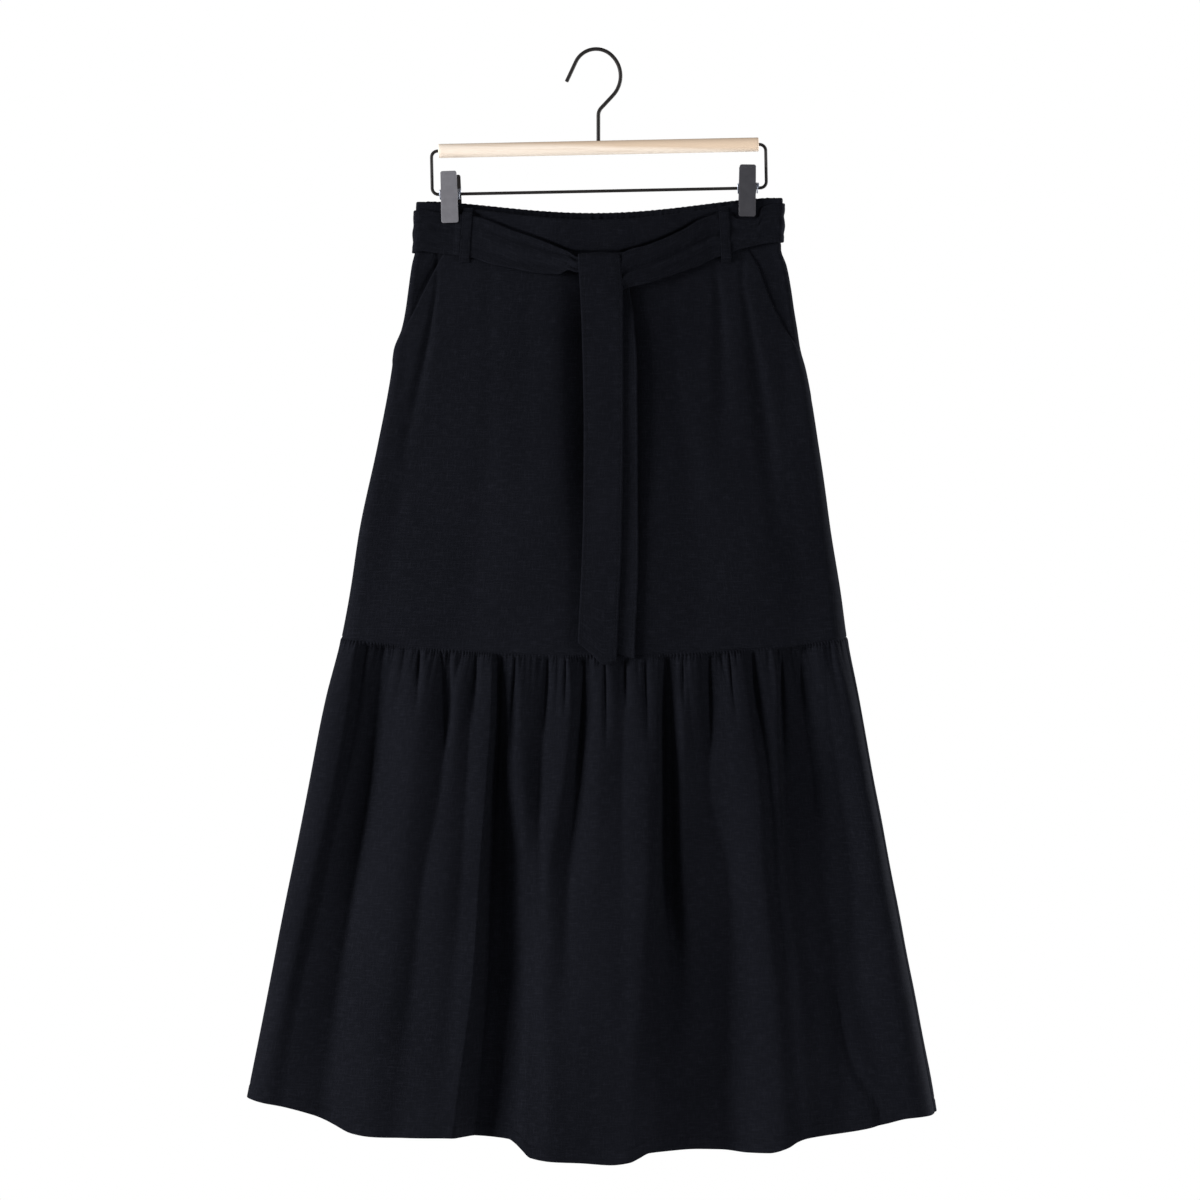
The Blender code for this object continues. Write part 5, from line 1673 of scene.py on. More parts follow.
SASH_STRETCHES = (
    SashStretch(
        "sash_left_side_cloth", "sash_side_left", LEFT_WRAP, 0.0030, False,
        (Pleat(0.30, 0.40, 0.09, -0.0010, 0.9), Pleat(0.52, 0.55, 0.10, 0.0008, 0.8),
         Pleat(0.80, 0.70, 0.08, -0.0010, 0.9)), Rumple(51, 0.00025),
        ("front_waistband_cloth", "back_waistband_cloth"), (0.100, 0.042),
    ),
    SashStretch(
        "sash_right_side_cloth", "sash_side_right", RIGHT_WRAP, 0.0030, False,
        (Pleat(0.36, 0.30, 0.07, -0.0009), Pleat(0.62, 0.55, 0.10, 0.0007), Pleat(0.82, 0.76, 0.05, -0.0005)),
        Rumple(52, 0.00028),
        ("front_waistband_cloth", "back_waistband_cloth"), (0.108, 0.038),
    ),
    SashStretch(
        "sash_back_cloth", "sash_back", BACK_WRAP, 0.0040, False,
        (Pleat(0.35, 0.40, 0.10, 0.0004), Pleat(0.62, 0.60, 0.08, -0.0004)), Rumple(53, 0.00030),
        ("back_waistband_cloth",), (0.272, 0.042),
    ),
    SashStretch(
        "sash_left_stretch_cloth", "sash_front_left", LEFT_STRETCH, 0.0016, True,
        (Pleat(0.50, 0.42, 0.16, 0.0016, 0.3), Pleat(0.24, 0.18, 0.08, -0.0010, 0.2),
         Pleat(0.78, 0.72, 0.09, -0.0012, 0.3)), Rumple(54, 0.00045),
        ("left_front_loop_cloth", "front_waistband_cloth"), (0.140, 0.042),
    ),
    SashStretch(
        "sash_right_stretch_cloth", "sash_front_right", RIGHT_STRETCH, 0.0016, True,
        (Pleat(0.58, 0.46, 0.060, -0.0020, 0.30), Pleat(0.74, 0.62, 0.10, 0.0014, 0.2),
         Pleat(0.24, 0.30, 0.10, 0.0012, 0.2)), Rumple(55, 0.00045),
        ("right_front_loop_cloth", "front_waistband_cloth"), (0.140, 0.042),
    ),
)


@dataclass(frozen=True)
class SashTail:
    """One hanging tail of the sash, with its slanted sewn end."""

    name: str
    node: str
    stations: Table  # down, distance out from the cloth, and x of the two edges
    slant: tuple[float, ...]  # how far each column of the end lies below the last station
    curl: tuple[float, float]  # how far the left and right edges curl forward
    flat: tuple[float, float]
    rumple: Rumple
    curl_full: float = 0.3205
    steps: int = 190
    sewn: float = 0.0036

    def middle(self) -> tuple[Array, ...]:
        """The tail's path in even steps.

        Returns:
            Down, out, left and right of each step, and the level turn of its face as two shares.
        """
        downs, outs, _, _ = (np.array(column) for column in zip(*self.stations))
        run = run_along(np.hypot(np.diff(downs), np.diff(outs)))
        closer = np.linspace(0.0, run[-1], self.steps)
        if (run < 0.045).sum() > 4:
            closer = np.union1d(closer, np.linspace(0.0, 0.050, 60))
        down, out, left, right = (smooth_read(closer, run, column) for column in zip(*self.stations))
        along_down, along_out = np.gradient(down), np.gradient(out)
        size = np.hypot(along_down, along_out)
        return down, out, left, right, -along_out / size, along_down / size

    def points(self, shares: Array, off: Array) -> Array:
        """Points of the tail.

        Args:
            shares: Where they lie across it, from its left edge, one a column.
            off: How far out from the tail's middle layer each point lies.

        Returns:
            A grid of points, one row a step down the tail.
        """
        down, out, left, right, turn_down, turn_out = (v[:, None] for v in self.middle())
        first, last = self.stations[0][0], self.stations[-1][0]
        slant = smooth_read(shares, np.linspace(0.0, 1.0, len(self.slant)), self.slant)
        below = np.where(turn_out > 0.0, ease((down - (last - 0.06)) / 0.06), 0.0) * slant
        free = ease((down - first) / (self.curl_full - first)) * (turn_out > 0.0)
        curl = self.curl[0] * bump(shares, 0.16) + self.curl[1] * bump(shares - 1.0, 0.16)
        lay = FORM.lay_at(mix(left, right, shares), down + below + turn_down * off)
        return lay.points(out + curl * free + self.rumple.lift(lay) * free + turn_out * off)

    def build(self) -> None:
        """Make the tail and sew its edges."""
        shares = crowded(SASH.across)[None, :]
        down, _, left, right, _, _ = self.middle()
        width = (right - left)[:, None]
        half = np.broadcast_to(SASH.swell(shares), (len(down), shares.shape[1])).copy()
        half[-1] *= SASH.edge
        half[-2] *= 0.75
        outer = self.points(shares, half + SASH.groove(shares, width))
        run = run_along(np.abs(np.diff(down)))
        cut = np.stack(np.broadcast_arrays(shares * width, run[:, None]), -1)
        piece = sew_shell(self.name, self.node, outer, self.points(shares, -half), cut)
        sewing = self.sew(width)

    def sew(self, width: Array) -> Piece:
        """Sew both long edges and the slanted end."""
        lines = []
        rise = np.full((len(width), 1), SASH.wall / 2)
        for share in (self.sewn / float(width.mean()), 1.0 - self.sewn / float(width.mean())):
            place = np.array([[share]])
            column = self.points(place, rise - 0.0001)[:, 0]
            lines.append((column, unit(self.points(place, rise + 0.0009)[:, 0] - column)))
        shares = np.linspace(0.10, 0.90, 60)[None, :]
        end = self.points(shares, rise - 0.0001)[-3]
        lines.append((end + np.array((0.0, 0.0, 0.0010)), np.tile((0.0, -1.0, 0.0), (60, 1))))
        return STITCHING.sew(self.name, lines)


SASH_TAILS = (
    SashTail(
        "sash_front_tail_cloth", "sash_tail_front",
        (
            (0.2400, 0.0046, -0.0150, 0.0240),
            (0.2140, 0.0046, -0.0160, 0.0246),
            (0.2085, 0.0052, -0.0166, 0.0246),
            (0.2068, 0.0070, -0.0168, 0.0246),
            (0.2085, 0.0088, -0.0168, 0.0246),
            (0.2140, 0.0096, -0.0166, 0.0250),
            (0.2450, 0.0098, -0.0147, 0.0272),
            (0.2805, 0.0088, -0.0132, 0.0275),
            (0.3805, 0.0084, -0.0112, 0.0278),
            (0.4605, 0.0070, -0.0118, 0.0268),
            (0.5105, 0.0060, -0.0132, 0.0258),
            (0.5705, 0.0058, -0.0162, 0.0224),
            (0.5900, 0.0058, -0.0172, 0.0214),
        ),
        (0.0026, 0.0135, 0.0246, 0.0212), (0.0004, 0.0006), (0.039, 0.44), Rumple(61, 0.00045),
    ),
    SashTail(
        "sash_back_tail_cloth", "sash_tail_back",
        (
            (0.2150, 0.0022, 0.0040, 0.0320),
            (0.2450, 0.0022, 0.0060, 0.0345),
            (0.2665, 0.0052, 0.0080, 0.0375),
            (0.3205, 0.0062, 0.0095, 0.0413),
            (0.3805, 0.0058, 0.0100, 0.0418),
            (0.4605, 0.0044, 0.0096, 0.0424),
            (0.5105, 0.0034, 0.0090, 0.0428),
            (0.5905, 0.0032, 0.0060, 0.0388),
        ),
        (0.0055, 0.0105, 0.0155, 0.0180), (0.0, 0.0012), (0.039, 0.40), Rumple(62, 0.0003),
    ),
)


# --- loops
# How far a loop's middle layer stands out where it is sewn down, and where it spans the sash.
LOOP_LIFTS = {Side.FRONT: (0.00140, 0.00380), Side.BACK: (0.00260, 0.00480)}


@dataclass(frozen=True)
class BeltLoop:
    """A narrow doubled strap that holds the sash to the waistband, sewn flat at each end."""

    hand: str
    side: Side
    top_x: float
    foot_x: float
    top: float
    foot: float
    wide: float = 0.0100
    wall: float = 0.0011
    sewn_foot: float = 0.0030
    ramp: float = 0.0025
    columns: int = 14
    sewn: float = 0.0016
    stitching: Stitching = Stitching(stitch=0.0019, pitch=0.0024)

    def path(self) -> tuple[Array, Array]:
        """Down and lift of the strap's middle layer, from its top to its foot."""
        low, high = LOOP_LIFTS[self.side]
        top, foot, up = self.top + self.sewn_foot, self.foot - self.sewn_foot, self.ramp
        downs = (self.top, top, top + up, foot - up, foot, self.foot)
        down = np.union1d(np.linspace(self.top, self.foot, 40), downs)
        down = np.union1d(down, np.linspace(self.top, self.top + 0.007, 14))
        down = np.union1d(down, np.linspace(self.foot - 0.007, self.foot, 14))
        return down, smooth_read(down, downs, (low, low, high, high, low, low))

    def grid(self, shares: Array, off: Array) -> tuple[Array, Array]:
        """Find points of the strap.

        Args:
            shares: Where they lie across it, one a column.
            off: How far out from its middle layer they lie.

        Returns:
            The points, one row a step down, and the way the strap faces there.
        """
        down, lift = (v[:, None] for v in self.path())
        share = (down - self.top) / (self.foot - self.top)
        x = mix(self.top_x, self.foot_x, share) + (shares - 0.5) * self.wide
        down, x = np.broadcast_arrays(down, x)
        lay = FORM.lay_at(x, down, self.side)
        return lay.points(lift + off), lay.facing()

    def build(self) -> None:
        """Make the loop, its two rows of stitches and its bars at each end."""
        shares = crowded(self.columns)[None, :]
        down, _ = self.path()
        flat = np.sqrt(np.maximum(1.0 - np.abs(2.0 * shares - 1.0) ** 8, 0.0))
        half = np.repeat(self.wall / 2 * np.maximum(flat, 0.2), len(down), axis=0)
        half[0] *= 0.3
        half[-1] *= 0.3
        groove = -0.00018 * bump(np.minimum(shares, 1.0 - shares) * self.wide - self.sewn, 0.0006)
        outer, inner = self.grid(shares, half + groove)[0], self.grid(shares, -half)[0]
        if self.side is Side.BACK:
            outer, inner = outer[:, ::-1], inner[:, ::-1]
        cut = np.stack(np.broadcast_arrays(shares * self.wide, (down - self.top)[:, None]), -1)
        side = self.side.name.lower()
        name = f"{self.hand}_{side}_loop_cloth"
        piece = sew_shell(name, f"loop_{side}_{self.hand}", outer, inner, cut)

        lines = []
        rise = np.full((len(down), 1), self.wall / 2 - 0.00008)
        for share in (self.sewn / self.wide, 1.0 - self.sewn / self.wide):
            points, facing = self.grid(np.array([[share]]), rise)
            lines.append((points[:, 0], facing[:, 0]))
        points, facing = self.grid(np.linspace(0.06, 0.94, 30)[None, :], rise)
        lines += [(points[row], facing[row]) for row in (4, 5, -5, -6)]
        sewing = self.stitching.sew(name, lines)


BELT_LOOPS = (
    BeltLoop("left", Side.FRONT, -0.1268, -0.1305, 0.1590, 0.2140),
    BeltLoop("right", Side.FRONT, 0.1280, 0.1306, 0.1585, 0.2140),
    BeltLoop("left", Side.BACK, -0.1000, -0.1010, 0.1580, 0.2150),
    BeltLoop("right", Side.BACK, 0.1020, 0.1030, 0.1570, 0.2140),
)


# --- working by hand
class Part(Enum):
    """What is chosen on a piece that is being worked: its faces or its edges."""

    FACES = "faces"
    EDGES = "edges"


def clear_choice() -> None:
    """Leave nothing selected, so that an operator acts on the new piece alone."""
    bpy.ops.object.select_all(action="DESELECT")


class Workpiece:
    """A mesh worked by hand in edit mode, its faces and edges chosen by their place."""

    def __init__(self, name: str) -> None:
        """Take the primitive that was just added, settle its place and open it."""
        self.piece = bpy.context.object
        self.piece.name = name
        bpy.ops.object.transform_apply(location=True, rotation=True, scale=True)
        bpy.ops.object.mode_set(mode="EDIT")

    def choose(self, part: Part, wanted: Callable[[object], bool]) -> None:
        """Choose the faces or edges that are wanted, and nothing else.

        Args:
            part: Whether faces or edges are chosen.
            wanted: Says of each one whether it is wanted.
        """
        bpy.context.tool_settings.mesh_select_mode = (False, part is Part.EDGES, part is Part.FACES)
        bpy.ops.mesh.select_all(action="DESELECT")
        mesh = bmesh.from_edit_mesh(self.piece.data)
        mesh.normal_update()
        for element in [element for element in getattr(mesh, part.value) if wanted(element)]:
            element.select_set(True)
        bmesh.update_edit_mesh(self.piece.data)

    def choose_faces(self, towards: Vector, wanted: Callable[[Vector], bool] = lambda middle: True) -> None:
        """Choose the flat faces that look one way and whose middles are wanted."""
        self.choose(Part.FACES, lambda face: (
            face.normal.dot(towards) > 0.999 and wanted(face.calc_center_median())
        ))

    def push(self, offset: Vector) -> None:
        """Extrude what is chosen by an offset."""
        bpy.ops.mesh.extrude_region_move(TRANSFORM_OT_translate={"value": tuple(offset)})

    def cut(self, point: Vector, facing: Vector) -> None:
        """Cut the whole piece along a plane, so that it has an edge loop there."""
        bpy.ops.mesh.select_all(action="SELECT")
        bpy.ops.mesh.bisect(plane_co=tuple(point), plane_no=tuple(facing))

    def close(self, smooth_angle: float = 40.0) -> Piece:
        """Turn the faces outwards and shade; edges sharper than an angle in degrees stay sharp."""
        bpy.ops.mesh.select_all(action="SELECT")
        bpy.ops.mesh.remove_doubles(threshold=0.000002)
        bpy.ops.mesh.normals_make_consistent(inside=False)
        bpy.ops.object.mode_set(mode="OBJECT")
        bpy.ops.object.shade_smooth_by_angle(angle=math.radians(smooth_angle))
        return self.piece


def modify(piece: Piece, kind: str, **settings: object) -> None:
    """Finish a piece with a modifier that is applied at once."""
    modifier = piece.modifiers.new(kind, kind)
    for name, value in settings.items():
        setattr(modifier, name, value)
    bpy.ops.object.modifier_apply(modifier=modifier.name)


class WireBender:
    """Draws a round wire in the plane of the hanger: straight runs and bends, one after another."""

    def __init__(self, name: str, start: Vector, heading: float, radius: float) -> None:
        """Set the wire's end in the bender.

        Args:
            name: The piece's name.
            start: Where the wire starts.
            heading: Its direction there, from +X towards +Z, in radians.
            radius: Half the wire's thickness.
        """
        clear_choice()
        bpy.ops.mesh.primitive_circle_add(
            vertices=20, radius=radius, fill_type="NGON", location=start,
            rotation=(0.0, math.pi / 2 - heading, 0.0),
        )
        self.work = Workpiece(name)
        self.place, self.heading = start.copy(), heading
        bpy.ops.mesh.select_all(action="SELECT")

    def straight(self, length: float) -> "WireBender":
        """Push the wire straight on."""
        along = Vector((math.cos(self.heading), 0.0, math.sin(self.heading)))
        self.work.push(along * length)
        self.place += along * length
        return self

    def bend(self, radius: float, turn: float, steps: int) -> "WireBender":
        """Bend the wire.

        Args:
            radius: The bend's radius to the wire's middle.
            turn: How far it turns, in radians; anticlockwise seen from the front is positive.
            steps: How many steps the bend has.

        Returns:
            The bender.
        """
        side = math.copysign(1.0, turn)
        centre = self.place + self.normal() * side * radius
        bpy.ops.mesh.spin(steps=steps, angle=turn, center=tuple(centre), axis=(0.0, 1.0, 0.0))
        self.heading += turn
        self.place = centre - self.normal() * side * radius
        return self

    def normal(self) -> Vector:
        """The direction square to the wire, on its left seen from the front."""
        return Vector((-math.sin(self.heading), 0.0, math.cos(self.heading)))

    def blunt(self, length: float = 0.0003, share: float = 0.72) -> "WireBender":
        """Round off the cut end a little."""
        self.straight(length)
        bpy.ops.transform.resize(value=(share, share, share), center_override=tuple(self.place))
        return self


# --- hanger
@dataclass(frozen=True)
class Hanger:
    """The wooden bar, the hook wire that stands in it and the frame wire below it."""

    bar_length: float = 0.320
    bar_radius: float = 0.007
    bar_sides: int = 64
    bar_ease: float = 0.0007
    frame_wire: float = 0.0016
    frame_half: float = 0.1671
    frame_corner: float = 0.0062
    frame_deep: float = 0.0434
    frame_inside: float = 0.0018
    hook_wire: float = 0.0019
    shank_x: float = 0.0033
    shank_bend_down: float = 0.0615
    hook_bend: float = 0.0110
    belly_centre: Vector = Vector((-0.0030, 0.0, -0.0265))
    belly_radius: float = 0.0285
    crown_down: float = 0.0205
    belly_to: float = math.radians(49.0)
    crown_to: float = math.radians(155.0)
    tip: Vector = Vector((-0.0292, 0.0, -0.0320))

    def build(self) -> None:
        """Make the bar and both wires."""
        file_piece(self.build_bar(), Stuff.WOOD, "hanger_bar")
        file_piece(self.build_hook(), Stuff.WIRE, "hanger_hook")
        file_piece(self.build_frame(), Stuff.WIRE, "hanger_frame")

    def on_bar(self, along: float, below: float = 0.0) -> Vector:
        """Point given along the tilted bar from its middle, and below its axis."""
        turn = (math.cos(BAR_TILT), math.sin(BAR_TILT))
        return Vector((
            BAR_CENTRE[0] + along * turn[0] + below * turn[1],
            0.0,
            BAR_CENTRE[2] + along * turn[1] - below * turn[0],
        ))

    def build_bar(self) -> Piece:
        """Turn the bar, ease its end edges and drill the holes for the frame wire."""
        clear_choice()
        bpy.ops.mesh.primitive_cylinder_add(
            vertices=self.bar_sides, radius=self.bar_radius, depth=self.bar_length,
            location=BAR_CENTRE, rotation=(0.0, math.pi / 2 - BAR_TILT, 0.0),
        )
        work = Workpiece("turned_wooden_bar")
        axis = Vector((math.cos(BAR_TILT), 0.0, math.sin(BAR_TILT)))
        middle = Vector(BAR_CENTRE)
        for share in (-0.5, -0.25, 0.0, 0.25, 0.5):
            work.cut(middle + axis * self.bar_length * share * 0.98, axis)
        work.choose(Part.EDGES, lambda edge: all(
            abs(abs((corner.co - middle).dot(axis)) - self.bar_length / 2) < 1e-5 for corner in edge.verts
        ))
        bpy.ops.mesh.bevel(offset=self.bar_ease, segments=3)
        for end in (-axis, axis):
            work.choose_faces(end)
            bpy.ops.mesh.inset(thickness=self.bar_radius - self.bar_ease - self.frame_wire * 1.25)
            work.push(end * -0.0020)
        return work.close(35.0)

    def build_hook(self) -> Piece:
        """Bend the hook: up the shank, out to the right, round the belly and over the crown."""
        foot = self.on_bar(self.shank_x - BAR_CENTRE[0], -self.bar_radius + 0.0006)
        corner = Vector((self.shank_x, 0.0, -self.shank_bend_down))
        lean, belly_start = self.lean_to_belly(corner)
        setback = self.hook_bend * math.tan(lean / 2)
        wire = WireBender("hook_wire", foot, math.pi / 2, self.hook_wire)
        wire.straight((corner - foot).length - setback)
        wire.bend(self.hook_bend, -lean, 8)
        wire.straight((belly_start - corner).length - setback)
        wire.bend(self.belly_radius, self.belly_to + lean, 18)
        wire.bend(self.crown_down + self.hook_wire, self.crown_to - self.belly_to, 22)
        wire.straight((self.tip - wire.place).length - 0.0003)
        return wire.blunt().work.close(50.0)

    def lean_to_belly(self, corner: Vector) -> tuple[float, Vector]:
        """The straight run from the shank's corner that just touches the belly's circle.

        Args:
            corner: Where shank and run would meet.

        Returns:
            How far the run leans from upright, and where it touches.
        """
        between = self.belly_centre - corner
        lean = math.atan2(between.x, between.z) + math.asin(self.belly_radius / between.length)
        reach = math.sqrt(between.length**2 - self.belly_radius**2)
        return lean, corner + Vector((math.sin(lean), 0.0, math.cos(lean))) * reach

    def build_frame(self) -> Piece:
        """Bend the frame: out of one end of the bar, down, along below it and back into the other."""
        corner, quarter = self.frame_corner, math.pi / 2
        out = self.frame_half - corner - self.bar_length / 2 + self.frame_inside
        drop = self.frame_deep - 2 * corner
        start = self.on_bar(-self.bar_length / 2 + self.frame_inside)
        wire = WireBender("frame_wire", start, math.pi + BAR_TILT, self.frame_wire)
        wire.straight(out).bend(corner, quarter, 10).straight(drop).bend(corner, quarter, 10)
        wire.straight(2 * (self.frame_half - corner))
        wire.bend(corner, quarter, 10).straight(drop).bend(corner, quarter, 10).straight(out)
        return wire.work.close(50.0)


# --- clips
@dataclass(frozen=True)
class Clip:
    """A spring clip: two pressed plates, and a coil spring on the frame wire between them."""

    name: str
    x: float
    top: float
    lean: float
    front: Stuff
    back: Stuff
    taper: float  # how much narrower its top is than its foot, as a share of its width
    back_aside: float = 0.0  # how far the back plate sits to the right of the front one
    back_lower: float = 0.0  # how far the back plate's top lies below the front one's
    wide: float = 0.0166
    tall: float = 0.0520
    sheet: float = 0.0011
    thick: float = 0.0025  # the CAD plate's, within which this one's lips stand
    ear_tall: float = 0.0076
    ear_out: float = 0.0004
    ear_deep: float = 0.0052
    round: float = 0.0022
    lip: float = 0.0030
    lip_out: float = 0.0008
    grip: tuple[float, float] = (0.0032, 0.0046)  # from the foot up
    spring_radius: float = 0.0050
    spring_wire: float = 0.00055
    spring_turns: float = 13.0
    spring_long: float = 0.0208
    spring_arm: float = 0.0040

    def build(self, hanger: Hanger) -> None:
        """Press both plates and wind the spring round the hanger's lower wire."""
        wire = hanger.on_bar(self.x - BAR_CENTRE[0], hanger.frame_deep)
        for end, sign, stuff in (("front", -1.0, self.front), ("back", 1.0, self.back)):
            node = f"{self.name}_{end}"
            file_piece(self.press_plate(node, sign, wire), stuff, node)
        file_piece(self.wind_spring(wire), Stuff.SPRING, f"{self.name}_spring")

    def press_plate(self, node: str, sign: float, wire: Vector) -> Piece:
        """Press one plate flat, fold its ears, lip and grip, and lean it against the cloth.

        Args:
            node: The CAD node that it replaces.
            sign: -1 for the front plate and 1 for the back one.
            wire: Where the frame wire passes.

        Returns:
            The plate.
        """
        low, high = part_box(node)
        slope = math.asin((high.y - low.y - self.thick) / self.tall)
        middle, half_tall = -(self.top + self.tall / 2), self.tall / 2
        out_face = (low.y if sign < 0 else high.y) - sign * math.sin(slope) * self.tall / 2
        level = wire.z - middle
        lip_from, grip_from, grip_to = half_tall - self.lip, *(share - half_tall for share in self.grip)
        clear_choice()
        bpy.ops.mesh.primitive_cube_add(size=1.0, scale=(self.wide, self.sheet, self.tall))
        work = Workpiece(f"{node}_plate")
        outward = Vector((0.0, sign, 0.0))
        work.choose(Part.EDGES, lambda edge: all(
            abs(c.co.x) > self.wide * 0.49 and abs(c.co.z) > self.tall * 0.49 for c in edge.verts
        ) and abs((edge.verts[0].co - edge.verts[1].co).y) > self.sheet * 0.9)
        bpy.ops.mesh.bevel(offset=self.round, segments=5)
        for cut in (level - self.ear_tall / 2, level + self.ear_tall / 2, lip_from, grip_from, grip_to):
            work.cut(Vector((0.0, 0.0, cut)), Vector((0.0, 0.0, 1.0)))
        self.fold_ears(work, level, outward)
        work.choose_faces(outward, lambda at: at.z > lip_from)
        work.push(outward * self.lip_out)
        work.choose_faces(-outward, lambda at: grip_from < at.z < grip_to)
        work.push(outward * -self.lip_out / 2)
        plate = work.close()
        modify(plate, "BEVEL", width=0.00022, segments=2)
        modify(
            plate, "SIMPLE_DEFORM",
            deform_method="TAPER", deform_axis="Z", factor=-self.taper, lock_y=True,
        )
        turn = Matrix.Rotation(self.lean, 4, "Y") @ Matrix.Rotation(sign * slope, 4, "X")
        aside, lower = (self.back_aside, self.back_lower / 2) if sign > 0 else (0.0, 0.0)
        out_middle = out_face - sign * (self.sheet / 2 + self.lip_out)
        stand = Matrix.Translation((self.x + aside, out_middle, middle - lower)) @ turn
        plate.data.transform(stand @ Matrix.Diagonal((1.0, 1.0, 1.0 - 2 * lower / self.tall, 1.0)))
        return plate

    def fold_ears(self, work: Workpiece, level: float, outward: Vector) -> None:
        """Fold the two ears that reach in to the wire.

        Args:
            work: The plate on the bench.
            level: The wire's height on the plate.
            outward: Which way the plate faces; the front plate's ears stand out past its sides.
        """
        def beside(at: Vector) -> bool:
            """Whether a place is level with the wire."""
            return abs(at.z - level) < self.ear_tall * 0.4

        for side in (-1.0, 1.0):
            across, edge = Vector((side, 0.0, 0.0)), self.wide / 2
            if outward.y < 0.0:
                work.choose_faces(across, beside)
                work.push(across * self.ear_out)
            else:
                edge -= self.sheet
                work.cut(across * edge, across)
            work.choose_faces(-outward, lambda at: at.x * side > edge and beside(at))
            work.push(outward * -self.ear_deep)

    def wind_spring(self, wire: Vector) -> Piece:
        """Wind the coil, with its two arms standing against the plates.

        Args:
            wire: Where the frame wire passes.

        Returns:
            The spring.
        """
        half, radius, steps = self.spring_long / 2, self.spring_radius, int(self.spring_turns * 22)
        path = [(-half, -radius, self.spring_arm * (1.0 - k / 5)) for k in range(5)]
        for k in range(steps + 1):
            angle = math.tau * self.spring_turns * k / steps
            along = (k / steps - 0.5) * self.spring_long
            path.append((along, -radius * math.cos(angle), -radius * math.sin(angle)))
        last = path[-1]
        path += [(last[0], last[1], last[2] + self.spring_arm * k / 5 * 0.9) for k in range(1, 6)]
        return self.tube(f"{self.name}_coil_spring", np.array(path), wire)

    def tube(self, name: str, path: Array, wire: Vector, sides: int = 8) -> Piece:
        """Sweep a round wire along a path.

        Args:
            name: The piece's name.
            path: The wire's middle, as places about the frame wire.
            wire: Where the frame wire passes.
            sides: How many sides the round wire has.

        Returns:
            The wire's piece.
        """
        along = unit(np.gradient(path, axis=0))
        aside = unit(np.cross(along, np.array((1.0, 0.0, 0.0))))
        over = np.cross(along, aside)
        rings = []
        for k in range(sides):
            angle = math.tau * k / sides
            rings.append(path + (aside * math.cos(angle) + over * math.sin(angle)) * self.spring_wire)
        numbers = np.arange(len(path) * sides).reshape(len(path), sides)
        numbers = np.concatenate((numbers, numbers[:, :1]), 1)
        faces = quads(numbers) + [numbers[0, :-1].tolist(), numbers[-1, :-1][::-1].tolist()]
        spring = mesh_piece(name, np.stack(rings, 1).reshape(-1, 3), faces)
        spring.data.transform(Matrix.Translation(wire) @ Matrix.Rotation(-BAR_TILT, 4, "Y"))
        mesh = bmesh.new()
        mesh.from_mesh(spring.data)
        bmesh.ops.recalc_face_normals(mesh, faces=mesh.faces)
        mesh.to_mesh(spring.data)
        mesh.free()
        return spring


CLIPS = (
    # The left clip's front plate is painted light: the same plating as the right clip, made lighter for how
    # it leans to the light.
    Clip(
        # The left clip's back plate is painted shade with the wire's dark coat, where the front plate shadows
        # it.
        "clip_left", -0.1457, 0.1222, math.radians(-2.0), Stuff.CLIP_PAINTED_LIT, Stuff.CLIP_BACK_IN_PAINTED_SHADE, 0.06,
        0.0035, 0.0024,
    ),
    # The right clip's plates are painted shade: the same plating, made darker for how they lean to the light.
    Clip("clip_right", 0.1520, 0.1158, math.radians(0.8), Stuff.CLIP_PAINTED_SHADED, Stuff.CLIP_PAINTED_SHADED, 0.03),
)


# --- studio
@dataclass(frozen=True)
class SoftBox:
    """A square studio light."""

    name: str
    place: tuple[float, float, float]
    size: float
    power: float


def stand(data: bpy.types.ID, place: Sequence[float], turn: Euler) -> bpy.types.Object:
    """Stand a camera or a light at a place, turned."""
    thing = bpy.data.objects.new(data.name, data)
    thing.location = place
    thing.rotation_euler = turn
    bpy.context.scene.collection.objects.link(thing)
    return thing


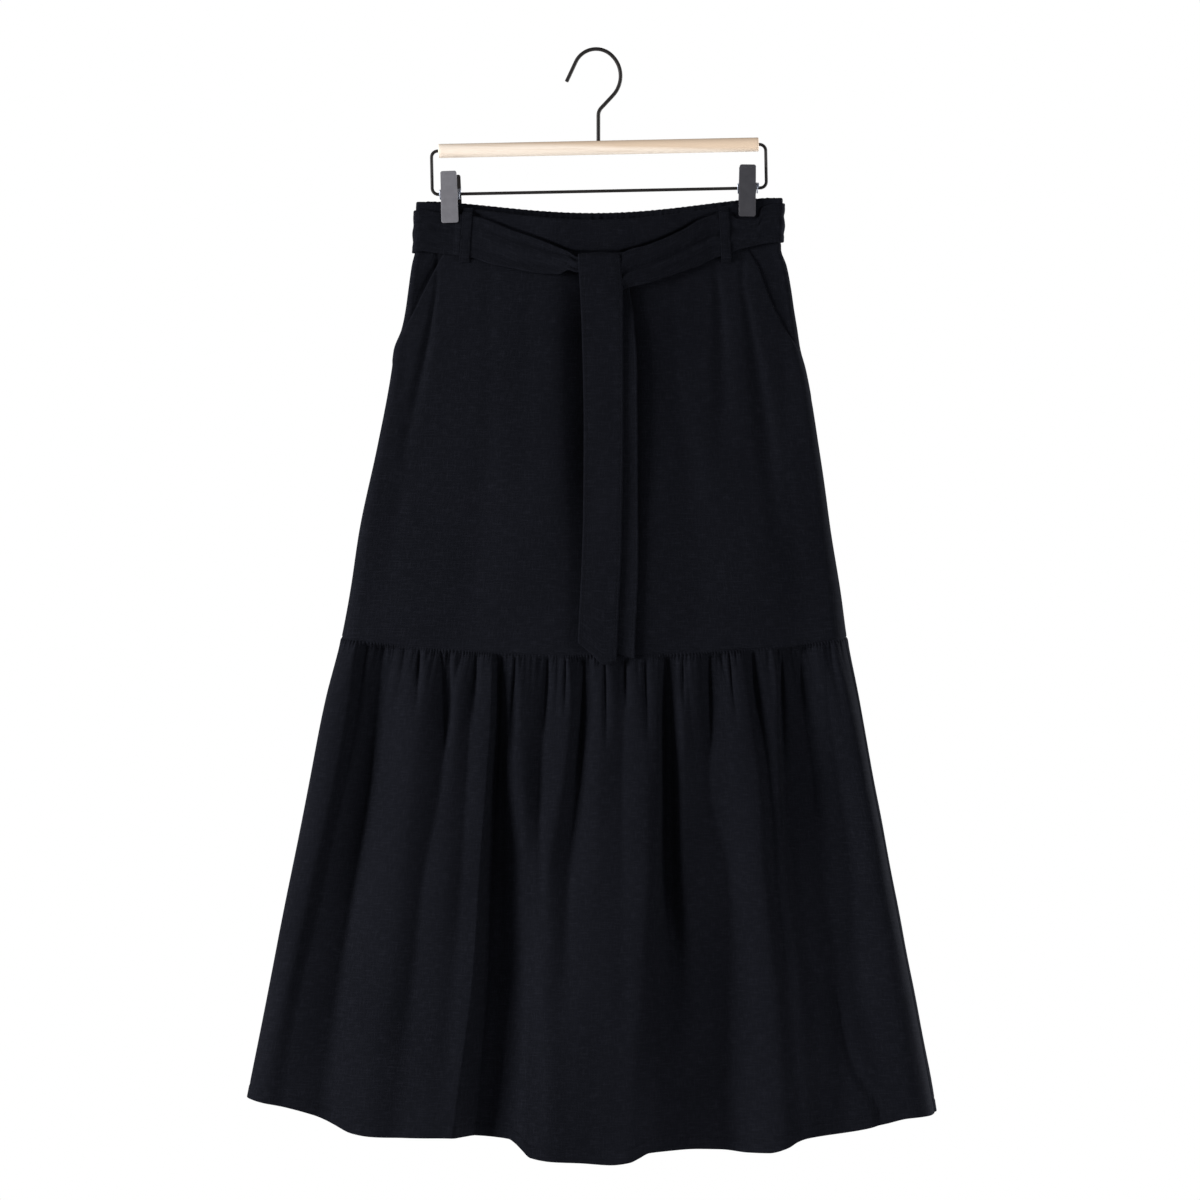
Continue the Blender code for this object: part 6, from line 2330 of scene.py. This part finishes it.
@dataclass(frozen=True)
class Studio:
    """The camera, the lights, the pale world and the floor."""

    camera_place: tuple[float, float, float] = (0.0048, -3.6, -0.5505)
    lens: float = 108.0
    aim: tuple[float, float, float] = (0.0, 0.0, -0.55)
    floor_down: float = 1.75
    floor_radius: float = 2.6
    world_light: float = 0.22
    boxes: tuple[SoftBox, ...] = (
        SoftBox("key_light", (-4.34, -1.76, 0.15), 1.8, 402.0),
        SoftBox("fill_light", (3.1, -1.8, -0.1), 1.0, 56.0),
        SoftBox("right_rim_light", (3.4, 1.0, -0.3), 1.2, 210.0),
        SoftBox("left_rim_light", (-3.2, 1.7, -0.3), 1.2, 30.0),
    )

    def build(self) -> None:
        """Set up the whole studio."""
        self.place_camera()
        for box in self.boxes:
            self.hang_light(box)
        self.set_world()
        self.lay_floor()

    def place_camera(self) -> None:
        """Stand the camera square in front of the skirt."""
        data = bpy.data.cameras.new("camera")
        data.lens = self.lens
        data.clip_end = 100.0
        bpy.context.scene.camera = stand(data, self.camera_place, Euler((math.pi / 2, 0.0, 0.0)))

    def hang_light(self, box: SoftBox) -> None:
        """Hang one soft box, turned to the skirt."""
        data = bpy.data.lights.new(box.name, "AREA")
        data.shape, data.size, data.energy = "SQUARE", box.size, box.power
        stand(data, box.place, (Vector(self.aim) - Vector(box.place)).to_track_quat("-Z", "Y").to_euler())

    def set_world(self) -> None:
        """Make the world an even white to look at, whose light on the cloth is dimmer."""
        world = bpy.data.worlds.new("pale_studio")
        world.use_nodes = True
        nodes, links = world.node_tree.nodes, world.node_tree.links
        background = nodes["Background"]
        background.inputs["Color"].default_value = colour(1.0, 1.0, 1.0)
        seen = nodes.new("ShaderNodeLightPath").outputs["Is Camera Ray"]
        strength = nodes.new("ShaderNodeMapRange")
        strength.inputs["To Min"].default_value = self.world_light
        strength.inputs["To Max"].default_value = 1.0
        links.new(seen, strength.inputs["Value"])
        links.new(strength.outputs["Result"], background.inputs["Strength"])
        bpy.context.scene.world = world
        bpy.context.scene.view_settings.view_transform = "Standard"

    def lay_floor(self) -> None:
        """Lay the pale floor below the hanging skirt."""
        clear_choice()
        bpy.ops.mesh.primitive_circle_add(
            vertices=96, radius=self.floor_radius, fill_type="NGON", location=(0.0, 0.0, -self.floor_down)
        )
        floor = Workpiece("studio_floor").close()
        floor.data.materials.append(Stuff.FLOOR.material())
        floor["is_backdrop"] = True


def main() -> None:
    """Build the hanger, the skirt and the studio."""
    logging.basicConfig(level=logging.INFO, format="%(name)s %(message)s")
    hanger = Hanger()
    hanger.build()
    for clip in CLIPS:
        clip.build(hanger)
    for part in (Waistband(), Panels(), Tier(), *BELT_LOOPS, *SASH_STRETCHES, *SASH_TAILS, Studio()):
        part.build()
    boxes = {"cad": CAD_BOX, "visual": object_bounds()}
    for name, box in boxes.items():
        log.info("%s box: %s to %s", name, *(tuple(round(c, 4) for c in corner) for corner in box))


if __name__ == "__main__":
    main()
